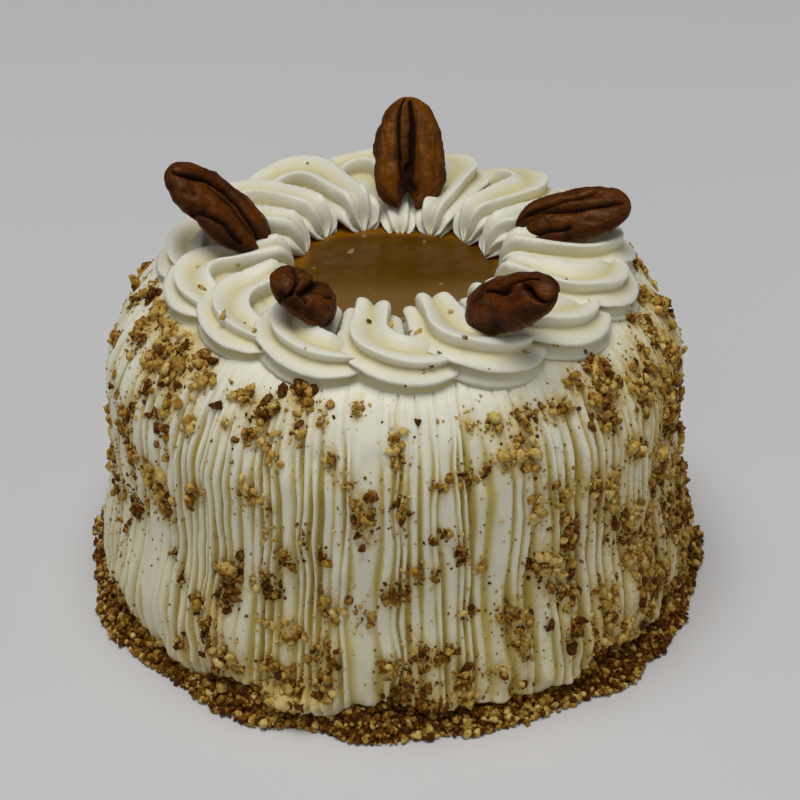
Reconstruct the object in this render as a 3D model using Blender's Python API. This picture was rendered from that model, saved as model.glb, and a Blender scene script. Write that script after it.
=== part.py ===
"""Round layer cake under combed cream, with a ring of piped swirls round a caramel pool.

Units are metres and +Z is up. The origin is on the resting surface under the middle of
the cake, and the side that the photograph shows faces -Y. The uncut cake is one solid,
and the chopped nuts pressed into its cream are fused to it.
"""
import math

import bmesh
import bpy
import numpy as np
from mathutils import Matrix, Vector

# The cream-covered body, a drum with a rounded shoulder and a spreading foot.
BODY_HEIGHT = 0.1005
BODY_RADIUS = 0.0852
SHOULDER_WIDTH = 0.0212
SHOULDER_DROP = 0.028
SHOULDER_BEND = 1.55
FOOT_SPREAD = 0.0048
FOOT_HEIGHT = 0.045
FOOT_STEEPNESS = 1.7
# The foot's slow unevenness: waves round the cake, their phase and their height.
FOOT_WAVES = ((3, 0.7, 0.0009), (5, 2.1, 0.0007), (11, 0.0, 0.0006))

# The combed ridges that run from the shoulder to the foot.
RIDGE_COUNT = 70
RIDGE_UNEVENNESS = 0.4
CREST_PLACE = (0.35, 0.65)
GROOVE_DEPTH = (0.0012, 0.0024)
CREST_HEIGHT = (0.0001, 0.0007)
RIDGE_TOP = (0.090, 0.097)
RIDGE_FADE = 0.015
BODY_LEVELS = (0.0, 0.009, 0.022, 0.036, 0.058, 0.074, 0.083, 0.0905, 0.0960)

# The caramel lies in a shallow dish in the top, out to under the swirls. The ring of
# swirls and the dish stand a little off the middle of the cake.
RING_X = 0.0020
RING_Y = 0.0005
POOL_RADIUS = 0.037
POOL_DEPTH = 0.0022
POOL_SIDES = 40
CUT_RISE = 0.010
GAP = 0.0003

# The ring of piped swirls.
SWIRL_COUNT = 15
SWIRL_START = math.radians(268.0)
SWIRL_RADIUS = 0.0505
SWIRL_OUT = 0.0218
SWIRL_IN_FRONT = 0.0215
SWIRL_IN_BACK = 0.0315
SWIRL_HALF_WIDTH = 0.0144
SWIRL_HEIGHT = 0.0145
SWIRL_DROP = 0.22
SWIRL_LEAD = math.radians(-18.0)
SWIRL_SWEEP = math.radians(293.0)
SWIRL_CORE = 0.0010
SWIRL_RIDGES = 4
SWIRL_GROOVE = 0.22
SWIRL_MIDDLE = 0.3
SWIRL_KEEL = 0.72
SWIRL_FULLNESS = 0.8
SWIRL_BLUNT_START = 0.09
SWIRL_BLUNT_END = 0.16
SWIRL_BLUNTNESS = 0.1
SWIRL_UNEVENNESS = 0.04
SWIRL_STEPS = 11
SWIRL_CLEARANCE = 0.0010

# Five pecan halves lean out of the ring: bearing and radius of the foot from the middle
# of the ring, its height above the top, heading, lean, roll (degrees), length, width and
# thickness.
PECANS = (
    ("pecan_back", 83.2, 0.0272, 0.0058, 88.5, 48.5, -4.0, 0.0355, 0.0213, 0.0112),
    ("pecan_left", 184.0, 0.0387, 0.0082, 166.0, 38.5, 12.0, 0.0368, 0.0200, 0.0112),
    ("pecan_front_left", 246.5, 0.0474, 0.0083, 194.0, 38.0, 15.0, 0.0215, 0.0172, 0.0121),
    ("pecan_front_right", 293.3, 0.0485, 0.0082, 317.0, 30.0, -38.0, 0.0348, 0.0166, 0.0143),
    ("pecan_right", 9.0, 0.0348, 0.0094, 355.0, 15.0, -14.5, 0.0344, 0.0204, 0.0112),
)
PECAN_NOTCH = 0.0030
PECAN_NOTCH_WIDTH = 0.25
PECAN_STATIONS = 9
PECAN_END = 0.96
PECAN_BLUNTNESS = (2.4, 2.2)
PECAN_HOLD = 0.042
# Half of the section through a pecan half, in half widths and half thicknesses: the
# lobe and the groove beside the middle ridge on the domed back, then the under side.
PECAN_BACK = ((0.0, 0.78), (0.17, 0.52), (0.30, 0.95), (0.62, 0.86), (1.0, 0.0))
PECAN_UNDER = ((0.58, -0.72), (0.0, -0.34))

# Chopped nuts: pieces on the side and a skirt of larger crumbs round the foot.
SIDE_NUTS = 52
SIDE_NUT_SIZE = (0.0048, 0.0085)
SIDE_NUT_SPACING = 0.0110
SIDE_NUT_BAND = (0.014, 0.087)
SKIRT_NUTS = 50
SKIRT_NUT_SIZE = (0.0064, 0.0090)
SKIRT_RADIUS = (0.0895, 0.0915)
SKIRT_UNEVENNESS = 0.25
SKIRT_REACH = 0.0950
SKIRT_HEIGHT = (0.0015, 0.0035)
NUT_FLOOR = 0.0002
NUT_STRETCH = (0.70, 1.15)
NUT_CORNERS = (0.80, 1.20)
# Where the side's nuts lie thickest: bearing and spread in degrees, height and spread in
# metres, and the share added there to the share that lies everywhere.
NUT_SHARE = 0.16
NUT_CLUSTERS = (
    (200.0, 34.0, 0.088, 0.012, 0.75),
    (345.0, 30.0, 0.045, 0.050, 0.55),
    (95.0, 60.0, 0.088, 0.012, 0.35),
    (270.0, 360.0, 0.0, 0.026, 0.35),
)

# Colour and roughness of each material.
CREAM = ((0.83, 0.81, 0.72, 1.0), 0.50)
CARAMEL = ((0.20, 0.10, 0.035, 1.0), 0.15)
PECAN_BROWN = ((0.13, 0.045, 0.018, 1.0), 0.50)

SHARP_EDGE = math.radians(35.0)
SMALLEST_EDGE = 1e-6
SEED = 15


def clear_scene():
    for obj in list(bpy.data.objects):
        bpy.data.objects.remove(obj, do_unlink=True)


def make_material(name, colour, roughness):
    material = bpy.data.materials.new(name)
    material.use_nodes = True
    shader = material.node_tree.nodes["Principled BSDF"]
    shader.inputs["Base Color"].default_value = colour
    shader.inputs["Roughness"].default_value = roughness
    shader.inputs["Metallic"].default_value = 0.0
    return material


def add_object(name, points, faces, material):
    mesh = bpy.data.meshes.new(name)
    mesh.from_pydata([tuple(p) for p in points], [], faces)
    mesh.materials.append(material)
    obj = bpy.data.objects.new(name, mesh)
    bpy.context.scene.collection.objects.link(obj)
    return obj


def finish_mesh(obj):
    """Keep the largest connected shell of the mesh, as triangles with outward normals."""
    bm = bmesh.new()
    bm.from_mesh(obj.data)
    seen, shells = set(), []
    for start in bm.verts:
        if start in seen:
            continue
        shell, todo = set(), [start]
        while todo:
            vert = todo.pop()
            if vert in shell:
                continue
            shell.add(vert)
            todo.extend(edge.other_vert(vert) for edge in vert.link_edges)
        seen |= shell
        shells.append(shell)
    largest = max(shells, key=len)
    bmesh.ops.delete(bm, geom=[v for v in bm.verts if v not in largest], context="VERTS")
    bmesh.ops.dissolve_degenerate(bm, edges=bm.edges[:], dist=SMALLEST_EDGE)
    bmesh.ops.triangulate(bm, faces=bm.faces[:])
    bmesh.ops.recalc_face_normals(bm, faces=bm.faces[:])
    bm.to_mesh(obj.data)
    bm.free()
    obj.data.shade_smooth()
    obj.data.set_sharp_from_angle(angle=SHARP_EDGE)


def tube_faces(rings, sides):
    """Quads between successive closed rings, and one flat cap at each end."""
    faces = []
    for i in range(rings - 1):
        for j in range(sides):
            k = (j + 1) % sides
            faces.append((i * sides + j, i * sides + k, (i + 1) * sides + k, (i + 1) * sides + j))
    faces.append(tuple(reversed(range(sides))))
    faces.append(tuple(range((rings - 1) * sides, rings * sides)))
    return faces


def apply_boolean(obj, operation, cutter=None, collection=None):
    """Apply one exact Boolean to the object, from another object or a collection."""
    modifier = obj.modifiers.new("shape", "BOOLEAN")
    modifier.operation = operation
    modifier.solver = "EXACT"
    if collection is None:
        modifier.object = cutter
    else:
        modifier.operand_type = "COLLECTION"
        modifier.collection = collection
    bpy.context.view_layer.update()
    graph = bpy.context.evaluated_depsgraph_get()
    result = bpy.data.meshes.new_from_object(obj.evaluated_get(graph))
    obj.modifiers.remove(modifier)
    obj.data = result


def swollen_copy(obj, by):
    """A copy of the object with each point moved out along its normal."""
    copy = obj.copy()
    copy.data = obj.data.copy()
    bpy.context.scene.collection.objects.link(copy)
    bm = bmesh.new()
    bm.from_mesh(copy.data)
    bmesh.ops.recalc_face_normals(bm, faces=bm.faces[:])
    bm.normal_update()
    moved = [(vert, vert.co + vert.normal * by) for vert in bm.verts]
    for vert, place in moved:
        vert.co = place
    bm.to_mesh(copy.data)
    bm.free()
    return copy


def body_radius(z):
    """Radius of the smooth drum at a height: a superelliptic shoulder and a flared foot."""
    rise = np.clip((z - (BODY_HEIGHT - SHOULDER_DROP)) / SHOULDER_DROP, 0.0, 1.0)
    shoulder = SHOULDER_WIDTH * (1.0 - (1.0 - rise ** SHOULDER_BEND) ** (1.0 / SHOULDER_BEND))
    down = np.clip(FOOT_STEEPNESS * (1.0 - z / FOOT_HEIGHT), 0.0, 1.0)
    return BODY_RADIUS - shoulder + FOOT_SPREAD * down * down * (3.0 - 2.0 * down)


def top_surface(radius):
    """Height of the smooth top and shoulder at a distance from the axis."""
    flat = BODY_RADIUS - SHOULDER_WIDTH
    out = np.clip((radius - flat) / SHOULDER_WIDTH, 0.0, 1.0)
    return BODY_HEIGHT - SHOULDER_DROP * (1.0 - (1.0 - out ** SHOULDER_BEND) ** (1.0 / SHOULDER_BEND))


def ridge_columns(rng):
    """Angles of the grooves and crests in turn, how far each stands out or in, and the
    height at which it has faded into the smooth shoulder."""
    widths = 1.0 + RIDGE_UNEVENNESS * rng.uniform(-1.0, 1.0, RIDGE_COUNT)
    edges = np.concatenate(([0.0], np.cumsum(widths))) / widths.sum() * math.tau
    crests = edges[:-1] + np.diff(edges) * rng.uniform(*CREST_PLACE, RIDGE_COUNT)
    angles = np.stack([edges[:-1], crests], axis=1).ravel()
    depth = rng.uniform(*GROOVE_DEPTH, RIDGE_COUNT)
    height = rng.uniform(*CREST_HEIGHT, RIDGE_COUNT)
    tops = rng.uniform(*RIDGE_TOP, 2 * RIDGE_COUNT)
    return angles, np.stack([-depth, height], axis=1).ravel(), tops


def foot_wave(angle):
    """Slow unevenness of the spread foot round the cake."""
    return sum(height * np.sin(waves * angle + phase) for waves, phase, height in FOOT_WAVES)


def make_body(material, rng):
    angles, offsets, tops = ridge_columns(rng)
    sides = len(angles)
    rings = []
    for z in BODY_LEVELS:
        fade = np.clip((tops - z) / RIDGE_FADE, 0.0, 1.0)
        foot = np.clip(1.0 - z / FOOT_HEIGHT, 0.0, 1.0)
        radius = body_radius(z) + offsets * fade + foot_wave(angles) * foot
        rings.append(np.stack([radius * np.cos(angles), radius * np.sin(angles),
                               np.full(sides, z)], axis=1))
    flat = BODY_RADIUS - SHOULDER_WIDTH
    rings.append(np.stack([flat * np.cos(angles), flat * np.sin(angles),
                           np.full(sides, BODY_HEIGHT)], axis=1))
    return add_object("cake", np.concatenate(rings), tube_faces(len(rings), sides), material)


def make_disc(name, radius, low, high, material):
    """A flat round solid about the middle of the ring of swirls."""
    turn = np.arange(POOL_SIDES) * math.tau / POOL_SIDES
    rim = np.stack([RING_X + radius * np.cos(turn), RING_Y + radius * np.sin(turn)], axis=1)
    points = [(x, y, z) for z in (low, high) for x, y in rim]
    return add_object(name, points, tube_faces(2, POOL_SIDES), material)


def nut_density(angle, z):
    """Share of the side's chopped nuts at a place: a sum of bell-shaped clusters."""
    share = NUT_SHARE
    for bearing, spread, height, height_spread, extra in NUT_CLUSTERS:
        away = (angle - math.radians(bearing) + math.pi) % math.tau - math.pi
        share += extra * math.exp(-(away / math.radians(spread)) ** 2
                                  - ((z - height) / height_spread) ** 2)
    return min(1.0, share)


def make_nut(name, centre, size, rng, material):
    """One chopped piece: a regular twenty-sided lump with uneven, flattened corners."""
    bm = bmesh.new()
    bmesh.ops.create_icosphere(bm, subdivisions=1, radius=0.5)
    stretch = rng.uniform(*NUT_STRETCH, 3)
    spin = Matrix.Rotation(rng.uniform(0, math.tau), 3, Vector(rng.normal(size=3)))
    points = []
    for vert in bm.verts:
        co = vert.co * rng.uniform(*NUT_CORNERS)
        co = spin @ Vector((co.x * stretch[0], co.y * stretch[1], co.z * stretch[2]))
        points.append(np.array(co) * size + centre)
    faces = [tuple(v.index for v in face.verts) for face in bm.faces]
    bm.free()
    points = np.array(points)
    points[:, 2] = np.maximum(points[:, 2], NUT_FLOOR)
    reach = np.hypot(points[:, 0], points[:, 1])
    points[:, :2] *= np.minimum(1.0, SKIRT_REACH / reach)[:, None]
    return add_object(name, points, faces, material)


def scatter_nuts(material, rng):
    """The chopped nuts that show from a step away, in a collection of their own."""
    nuts = bpy.data.collections.new("nuts")
    bpy.context.scene.collection.children.link(nuts)
    places = []
    while len(places) < SIDE_NUTS:
        angle, z = rng.uniform(0, math.tau), rng.uniform(*SIDE_NUT_BAND)
        if rng.uniform() > nut_density(angle, z):
            continue
        radius = float(body_radius(z))
        centre = np.array([radius * math.cos(angle), radius * math.sin(angle), z])
        if any(np.linalg.norm(centre - other) < SIDE_NUT_SPACING for other, _ in places):
            continue
        places.append((centre, rng.uniform(*SIDE_NUT_SIZE)))
    for i in range(SKIRT_NUTS):
        angle = (i + SKIRT_UNEVENNESS * rng.uniform(-1.0, 1.0)) * math.tau / SKIRT_NUTS
        radius = rng.uniform(*SKIRT_RADIUS)
        size = rng.uniform(*SKIRT_NUT_SIZE)
        places.append((np.array([radius * math.cos(angle), radius * math.sin(angle),
                                 rng.uniform(*SKIRT_HEIGHT)]), size))
    for i, (centre, size) in enumerate(places):
        nut = make_nut(f"nut_{i}", centre, size, rng, material)
        bpy.context.scene.collection.objects.unlink(nut)
        nuts.objects.link(nut)
    return nuts


def fuse_nuts(cake, nuts):
    apply_boolean(cake, "UNION", collection=nuts)
    for nut in list(nuts.objects):
        bpy.data.objects.remove(nut, do_unlink=True)
    bpy.data.collections.remove(nuts)


def swirl_section(share, inward, scale):
    """Section through the rope of cream at one share of its sweep, as (out, up) pairs.

    The arch falls like a quarter ellipse from the core of the swirl to its oval edge,
    with crests and grooves in turn, and it narrows to a rounded end at both ends of the
    sweep. The last two points are on the underside, which bends to follow the shoulder.
    """
    turn = SWIRL_LEAD + SWIRL_SWEEP * share
    reach = SWIRL_OUT if math.cos(turn) < 0 else inward
    edge = scale / math.hypot(math.cos(turn) / reach, math.sin(turn) / SWIRL_HALF_WIDTH)
    rounding = min(1.0, SWIRL_BLUNTNESS + share / SWIRL_BLUNT_START,
                   SWIRL_BLUNTNESS + (1.0 - share) / SWIRL_BLUNT_END)
    taper = math.sqrt(1.0 - (1.0 - rounding) ** 2)
    width = (edge - SWIRL_CORE) * taper
    start = SWIRL_CORE + 0.5 * (edge - SWIRL_CORE) * (1.0 - taper)
    height = SWIRL_HEIGHT * scale * (1.0 - SWIRL_DROP * share) * taper
    arch = []
    for i in range(2 * SWIRL_RIDGES + 1):
        angle = 0.5 * math.pi * i / (2 * SWIRL_RIDGES)
        depth = 1.0 if i % 2 else 1.0 - SWIRL_GROOVE
        across = SWIRL_MIDDLE + depth * (math.sin(angle) - SWIRL_MIDDLE)
        up = depth * max(0.0, math.cos(angle)) ** SWIRL_FULLNESS
        arch.append((start + width * max(0.0, across), height * up))
    arch.append((start + width * SWIRL_KEEL, 0.0))
    arch.append((start, 0.0))
    return arch


def make_swirl(index, material, rng):
    """One piped swirl, swept from the pool's side round the outside of the ring."""
    bearing = SWIRL_START + index * math.tau / SWIRL_COUNT + math.radians(rng.uniform(-1, 1))
    scale = 1.0 + SWIRL_UNEVENNESS * rng.uniform(-1.0, 1.0)
    back = max(0.0, math.sin(bearing))
    inward = SWIRL_IN_FRONT + (SWIRL_IN_BACK - SWIRL_IN_FRONT) * back
    out = np.array([math.cos(bearing), math.sin(bearing)])
    along = np.array([-out[1], out[0]])
    centre = np.array([RING_X, RING_Y]) + SWIRL_RADIUS * out
    points = []
    for step in range(SWIRL_STEPS + 1):
        share = step / SWIRL_STEPS
        turn = SWIRL_LEAD + SWIRL_SWEEP * share
        heading = -math.cos(turn) * out - math.sin(turn) * along
        for reach, up in swirl_section(share, inward, scale):
            x, y = centre + heading * reach
            base = float(top_surface(math.hypot(x, y))) + SWIRL_CLEARANCE
            points.append((x, y, base + up))
    sides = 2 * SWIRL_RIDGES + 3
    return add_object(f"swirl_{index + 1:02d}", points,
                      tube_faces(SWIRL_STEPS + 1, sides), material)


def make_swirls(material, rng):
    """All the swirls, each cut where the next one lies over it."""
    swirls = [make_swirl(i, material, rng) for i in range(SWIRL_COUNT)]
    cutters = [swollen_copy(swirl, GAP) for swirl in swirls]
    for i, swirl in enumerate(swirls):
        apply_boolean(swirl, "DIFFERENCE", cutter=cutters[(i + 1) % SWIRL_COUNT])
    for cutter in cutters:
        bpy.data.objects.remove(cutter, do_unlink=True)
    return swirls


def pecan_section(share):
    """Points round a pecan half at one share of its length, as (across, up) in half sizes.

    The domed back has two lobes and a narrow ridge between two grooves, and the under
    side has a shallow furrow. Both halves of the section are alike.
    """
    plump = (1.0 - abs(share) ** PECAN_BLUNTNESS[0]) ** (1.0 / PECAN_BLUNTNESS[1])
    right = PECAN_BACK + PECAN_UNDER
    left = tuple((-x, y) for x, y in reversed(right[1:-1]))
    return [(x * plump, y * plump) for x, y in right + left]


def make_pecan(row, material):
    name, bearing, radius, height, heading, lean, roll, length, width, thickness = row
    bearing, heading, lean, roll = (math.radians(a) for a in (bearing, heading, lean, roll))
    flat = Vector((math.cos(heading), math.sin(heading), 0.0))
    up = Vector((0.0, 0.0, 1.0))
    along = flat * math.cos(lean) + up * math.sin(lean)
    face = up * math.cos(lean) - flat * math.sin(lean)
    across = face.cross(along)
    face, across = (face * math.cos(roll) + across * math.sin(roll),
                    across * math.cos(roll) - face * math.sin(roll))
    foot = Vector((RING_X + radius * math.cos(bearing), RING_Y + radius * math.sin(bearing),
                   BODY_HEIGHT + height))
    middle = foot + along * length / 2
    points = []
    for i in range(PECAN_STATIONS):
        share = math.sin(math.pi / 2 * PECAN_END * (2 * i / (PECAN_STATIONS - 1) - 1))
        for x, y in pecan_section(share):
            cleft = (PECAN_NOTCH * max(0.0, -share) ** 4
                     * max(0.0, 1.0 - abs(x) / PECAN_NOTCH_WIDTH))
            place = (middle + along * (share * length / 2 + cleft)
                     + across * (x * width / 2) + face * (y * thickness / 2))
            points.append(place)
    sides = len(points) // PECAN_STATIONS
    return add_object(name, points, tube_faces(PECAN_STATIONS, sides), material)


def seat_pecans(pecans, swirls):
    """Press each pecan half's hollow into the swirls within its reach."""
    for pecan in pecans:
        cutter = swollen_copy(pecan, GAP)
        middle = sum((v.co for v in pecan.data.vertices), Vector()) / len(pecan.data.vertices)
        for swirl in swirls:
            points = swirl.data.vertices
            centre = sum((v.co for v in points), Vector()) / len(points)
            if (centre - middle).length < PECAN_HOLD:
                apply_boolean(swirl, "DIFFERENCE", cutter=cutter)
        bpy.data.objects.remove(cutter, do_unlink=True)


def main():
    clear_scene()
    rng = np.random.default_rng(SEED)
    cream = make_material("cream", *CREAM)
    caramel = make_material("caramel", *CARAMEL)
    brown = make_material("pecan", *PECAN_BROWN)

    cake = make_body(cream, rng)
    dish = make_disc("dish", POOL_RADIUS + GAP, BODY_HEIGHT - POOL_DEPTH - 2 * GAP,
                     BODY_HEIGHT + CUT_RISE, cream)
    apply_boolean(cake, "DIFFERENCE", cutter=dish)
    bpy.data.objects.remove(dish, do_unlink=True)
    fuse_nuts(cake, scatter_nuts(cream, rng))

    pool = make_disc("caramel_pool", POOL_RADIUS, BODY_HEIGHT - POOL_DEPTH - GAP,
                     BODY_HEIGHT - GAP, caramel)
    swirls = make_swirls(cream, rng)
    pecans = [make_pecan(row, brown) for row in PECANS]
    seat_pecans(pecans, swirls)
    for obj in [cake, pool] + swirls + pecans:
        finish_mesh(obj)


main()
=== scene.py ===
import itertools
import math

import bpy
import numpy as np
from mathutils import Euler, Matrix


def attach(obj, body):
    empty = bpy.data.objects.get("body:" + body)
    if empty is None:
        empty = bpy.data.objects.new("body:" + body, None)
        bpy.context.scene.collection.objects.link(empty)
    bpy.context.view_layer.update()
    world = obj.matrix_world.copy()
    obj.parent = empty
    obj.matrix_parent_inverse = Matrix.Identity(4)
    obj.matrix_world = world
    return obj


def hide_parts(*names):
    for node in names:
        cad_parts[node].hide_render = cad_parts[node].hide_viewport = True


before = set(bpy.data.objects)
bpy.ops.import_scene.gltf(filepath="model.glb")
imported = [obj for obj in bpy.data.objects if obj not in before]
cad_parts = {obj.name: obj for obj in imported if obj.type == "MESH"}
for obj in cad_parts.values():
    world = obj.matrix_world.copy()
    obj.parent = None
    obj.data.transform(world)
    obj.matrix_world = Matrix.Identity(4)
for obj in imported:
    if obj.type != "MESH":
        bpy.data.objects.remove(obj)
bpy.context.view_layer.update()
print("frame:", len(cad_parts), "solids")

# The cake's own sizes, in metres, as its solids have them.
cakeForm = {
    "height": 0.1005, "radius": 0.0852,                                 # top, and side
    "shoulderWidth": 0.0212, "shoulderDrop": 0.0280, "shoulderBend": 1.55,
    "footSpread": 0.0048, "footHeight": 0.0450, "footSteepness": 1.7,
    "ringX": 0.0020, "ringY": 0.0005,                                   # middle of the swirls
    "poolRadius": 0.0370, "poolDepth": 0.0022, "gap": 0.0003,
}


# Numbers that go through a material. An expression on them adds its Math nodes.
class Wire:
    def __init__(self, tree, socket):
        self.tree, self.socket = tree, socket

    def maths(self, operation, first, second):
        node = self.tree.nodes.new("ShaderNodeMath")
        node.operation = operation
        for entry, value in zip(node.inputs, (first, second)):
            join(self.tree, entry, value)
        return Wire(self.tree, node.outputs[0])

    def __add__(self, other):
        return self.maths("ADD", self, other)

    def __radd__(self, other):
        return self.maths("ADD", other, self)

    def __sub__(self, other):
        return self.maths("SUBTRACT", self, other)

    def __rsub__(self, other):
        return self.maths("SUBTRACT", other, self)

    def __mul__(self, other):
        return self.maths("MULTIPLY", self, other)

    def __rmul__(self, other):
        return self.maths("MULTIPLY", other, self)


# Sets a socket's value, or links a wire to it.
def join(tree, entry, value):
    if isinstance(value, Wire):
        tree.links.new(value.socket, entry)
    else:
        entry.default_value = value


# One material: its Principled shader's constants, and a way to add any node.
class Finish:
    def __init__(self, name, constants):
        self.material = bpy.data.materials.new(name)
        self.material.use_nodes = True
        self.tree = self.material.node_tree
        self.shader = self.tree.nodes["Principled BSDF"]
        for key, value in constants.items():
            self.shader.inputs[key].default_value = value

    # settings are set first, then the sockets' values or links; stops are a ramp's
    def add(self, kind, settings, sockets, out=0):
        node = self.tree.nodes.new("ShaderNode" + kind)
        for key, value in settings.items():
            if key == "stops":
                while len(node.color_ramp.elements) < len(value):
                    node.color_ramp.elements.new(1.0)
                for element, (place, colour) in zip(node.color_ramp.elements, value):
                    element.position, element.color = place, (*colour, 1.0)
            else:
                setattr(node, key, value)
        for key, value in sockets.items():
            join(self.tree, node.inputs[key], value)
        return Wire(self.tree, node.outputs[out])

    def places(self):
        return self.add("TexCoord", {}, {}, "Object")

    def axis(self, places, name):
        return self.add("SeparateXYZ", {}, {"Vector": places}, name)

    def noise(self, places, scale, detail=3.0, roughness=0.55):
        return self.add("TexNoise", {}, {"Vector": places, "Scale": scale, "Detail": detail,
                                         "Roughness": roughness})

    def attribute(self, name):
        return self.add("Attribute", {"attribute_name": name}, {}, "Fac")

    def mix(self, share, first, second):
        first, second = ((*c, 1.0) if isinstance(c, tuple) else c for c in (first, second))
        return self.add("Mix", {"data_type": "RGBA"}, {0: share, 6: first, 7: second}, 2)

    # goes smoothly from one number to another while a value goes from low to high
    def spread(self, value, low, high, first=0.0, last=1.0):
        return self.add("MapRange", {"interpolation_type": "SMOOTHSTEP"},
                        {"Value": value, 1: low, 2: high, 3: first, 4: last})

    # lays a colour over another where a value is high: the layer is the colour, then a spread
    def tint(self, colour, value, layer):
        return self.mix(self.spread(value, *layer[1:]), colour, layer[0])

    def bump(self, height, distance, **under):
        return self.add("Bump", {}, {"Height": height, "Distance": distance, **under})

    def feed(self, **wires):
        for key, wire in wires.items():
            join(self.tree, self.shader.inputs[key.replace("_", " ")], wire)
        return self.material


# Smooth step: 0 at low, 1 at high, s*s*(3 - 2s) between. It falls where low is above high.
def smoothStep(value, low, high):
    share = np.clip((value - low) / (high - low), 0.0, 1.0)
    return share * share * (3.0 - 2.0 * share)


# Bell: exp(-(x / wide)^2 - (y / high)^2).
def bell(x, wide, y=0.0, high=1.0):
    return np.exp(-(x / wide) ** 2 - (y / high) ** 2)


# Value noise in -1..1: random numbers at whole places, blended by s*s*(3 - 2s) between
# them along x and y. With wrap, it repeats after that many steps of x.
def valueNoise(x, y, seed, wrap=0):
    x, y = np.broadcast_arrays(np.asarray(x, float), np.asarray(y, float))
    columns, rows = 257, 263
    table = np.random.default_rng(seed).uniform(-1.0, 1.0, (columns, rows))
    left, low = np.floor(x).astype(int), np.floor(y).astype(int)
    u, v = x - left, y - low
    u, v = u * u * (3.0 - 2.0 * u), v * v * (3.0 - 2.0 * v)
    right = left + 1
    if wrap:
        left, right = left % wrap, right % wrap
    left, right, low, high = left % columns, right % columns, low % rows, (low + 1) % rows
    bottom = table[left, low] * (1 - u) + table[right, low] * u
    top = table[left, high] * (1 - u) + table[right, high] * u
    return bottom * (1 - v) + top * v


# Value noise round the cake, which meets itself after one turn of so many steps.
def roundNoise(turn, steps, up, seed):
    return valueNoise(turn * steps, up, seed, steps)


# How far round the cake turns lie from a bearing in degrees, as -0.5 to 0.5 of a turn.
def turnsFrom(turn, bearing):
    return (turn - bearing / 360.0 + 0.5) % 1.0 - 0.5


# The same in millimetres along the cake's side.
def asideFrom(turn, bearing):
    return 1000.0 * math.tau * cakeForm["radius"] * turnsFrom(turn, bearing)


# Points at an angle, radius and height round the cake's axis, or round another upright line.
def ringPoints(angle, radius, height, middle=(0.0, 0.0)):
    x, y = middle[0] + radius * np.cos(angle), middle[1] + radius * np.sin(angle)
    return np.stack(np.broadcast_arrays(x, y, height), axis=-1)


# Puts a mesh from arrays into a new object at the origin. Given a slot, a piece of the cake
# is hung from the root body, and the solid that it stands for is hidden.
def makePiece(name, points, faces, material, values=None, slot=None, solid=None, smooth=True):
    mesh = bpy.data.meshes.new(name)
    sides = faces.shape[1]
    mesh.vertices.add(len(points))
    mesh.vertices.foreach_set("co", points.astype(np.float32).ravel())
    mesh.loops.add(faces.size)
    mesh.loops.foreach_set("vertex_index", faces.astype(np.int32).ravel())
    mesh.polygons.add(len(faces))
    mesh.polygons.foreach_set("loop_start", np.arange(0, faces.size, sides, dtype=np.int32))
    mesh.polygons.foreach_set("loop_total", np.full(len(faces), sides, dtype=np.int32))
    mesh.update(calc_edges=True)
    mesh.validate()
    mesh.polygons.foreach_set("use_smooth", np.full(len(mesh.polygons), smooth))
    for key, numbers in (values or {}).items():
        held = mesh.attributes.new(key, "FLOAT", "POINT")
        held.data.foreach_set("value", numbers.astype(np.float32).ravel())
    mesh.materials.append(material)
    piece = bpy.data.objects.new(name, mesh)
    bpy.context.scene.collection.objects.link(piece)
    if slot:
        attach(piece, "root")
    if solid:
        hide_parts(solid)
    return piece


# A closed skin over a grid whose rows are rings. One more point closes each end, the ring's
# middle unless it is given. Values are a grid of numbers and the two at those points.
def makeSkin(name, grid, material, values, slot, solid, ends=None):
    rows, columns = grid.shape[:2]
    here = np.arange(rows * columns).reshape(rows, columns)
    beside = np.roll(here, -1, axis=1)
    quads = np.stack([here[:-1], beside[:-1], beside[1:], here[1:]], axis=-1).reshape(-1, 4)
    first = np.full(columns, rows * columns)
    faces = np.concatenate([quads[:, [0, 1, 2]], quads[:, [0, 2, 3]],
                            np.stack([beside[0], here[0], first], axis=-1),
                            np.stack([here[-1], beside[-1], first + 1], axis=-1)])
    ends = ends or (grid[0].mean(axis=0), grid[-1].mean(axis=0))
    points = np.concatenate([grid.reshape(-1, 3), ends])
    values = {key: np.append(numbers.ravel(), two) for key, (numbers, two) in values.items()}
    makePiece(name, points, faces, material, values, slot, solid)


# Camera at the picture's own viewing angle.
cameraView = {
    "place": (-0.0020, -0.6007, 0.4105), "elevation": 30.97,
    "lens": 103.5, "sensor": 36.0, "roll": -0.756, "shift": (0.0153, 0.0208),
}


def makeCamera():
    data = bpy.data.cameras.new("camera")
    data.lens, data.sensor_width = cameraView["lens"], cameraView["sensor"]
    data.shift_x, data.shift_y = cameraView["shift"]
    camera = bpy.data.objects.new("camera", data)
    camera.location = cameraView["place"]
    tilt = math.radians(90.0 - cameraView["elevation"])
    turn = Euler((tilt, 0.0, 0.0)).to_matrix()
    roll = Euler((0.0, 0.0, math.radians(cameraView["roll"]))).to_matrix()
    camera.rotation_euler = (turn @ roll).to_euler()
    bpy.context.scene.collection.objects.link(camera)
    bpy.context.scene.camera = camera


# Pale floor, a broad light overhead and weaker ones in front, left and right.
studio = {
    "floorSize": 6.0, "floorColour": (0.665, 0.657, 0.656), "floorRoughness": 0.8,
    "world": (0.93, 0.95, 1.0), "worldStrength": 0.045,
    "aim": (0.0, 0.0, 0.05),                # what every light points at
    "lights": (                             # name, place, width, watts
        ("overhead", (-0.16, -0.26, 2.60), 1.80, 46.5),
        ("front", (-0.50, -2.50, 1.40), 1.75, 8.3),
        ("left", (-1.60, -0.30, 0.80), 1.00, 1.8),
        ("right", (1.60, -0.35, 0.80), 1.00, 3.2),
    ),
}


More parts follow.
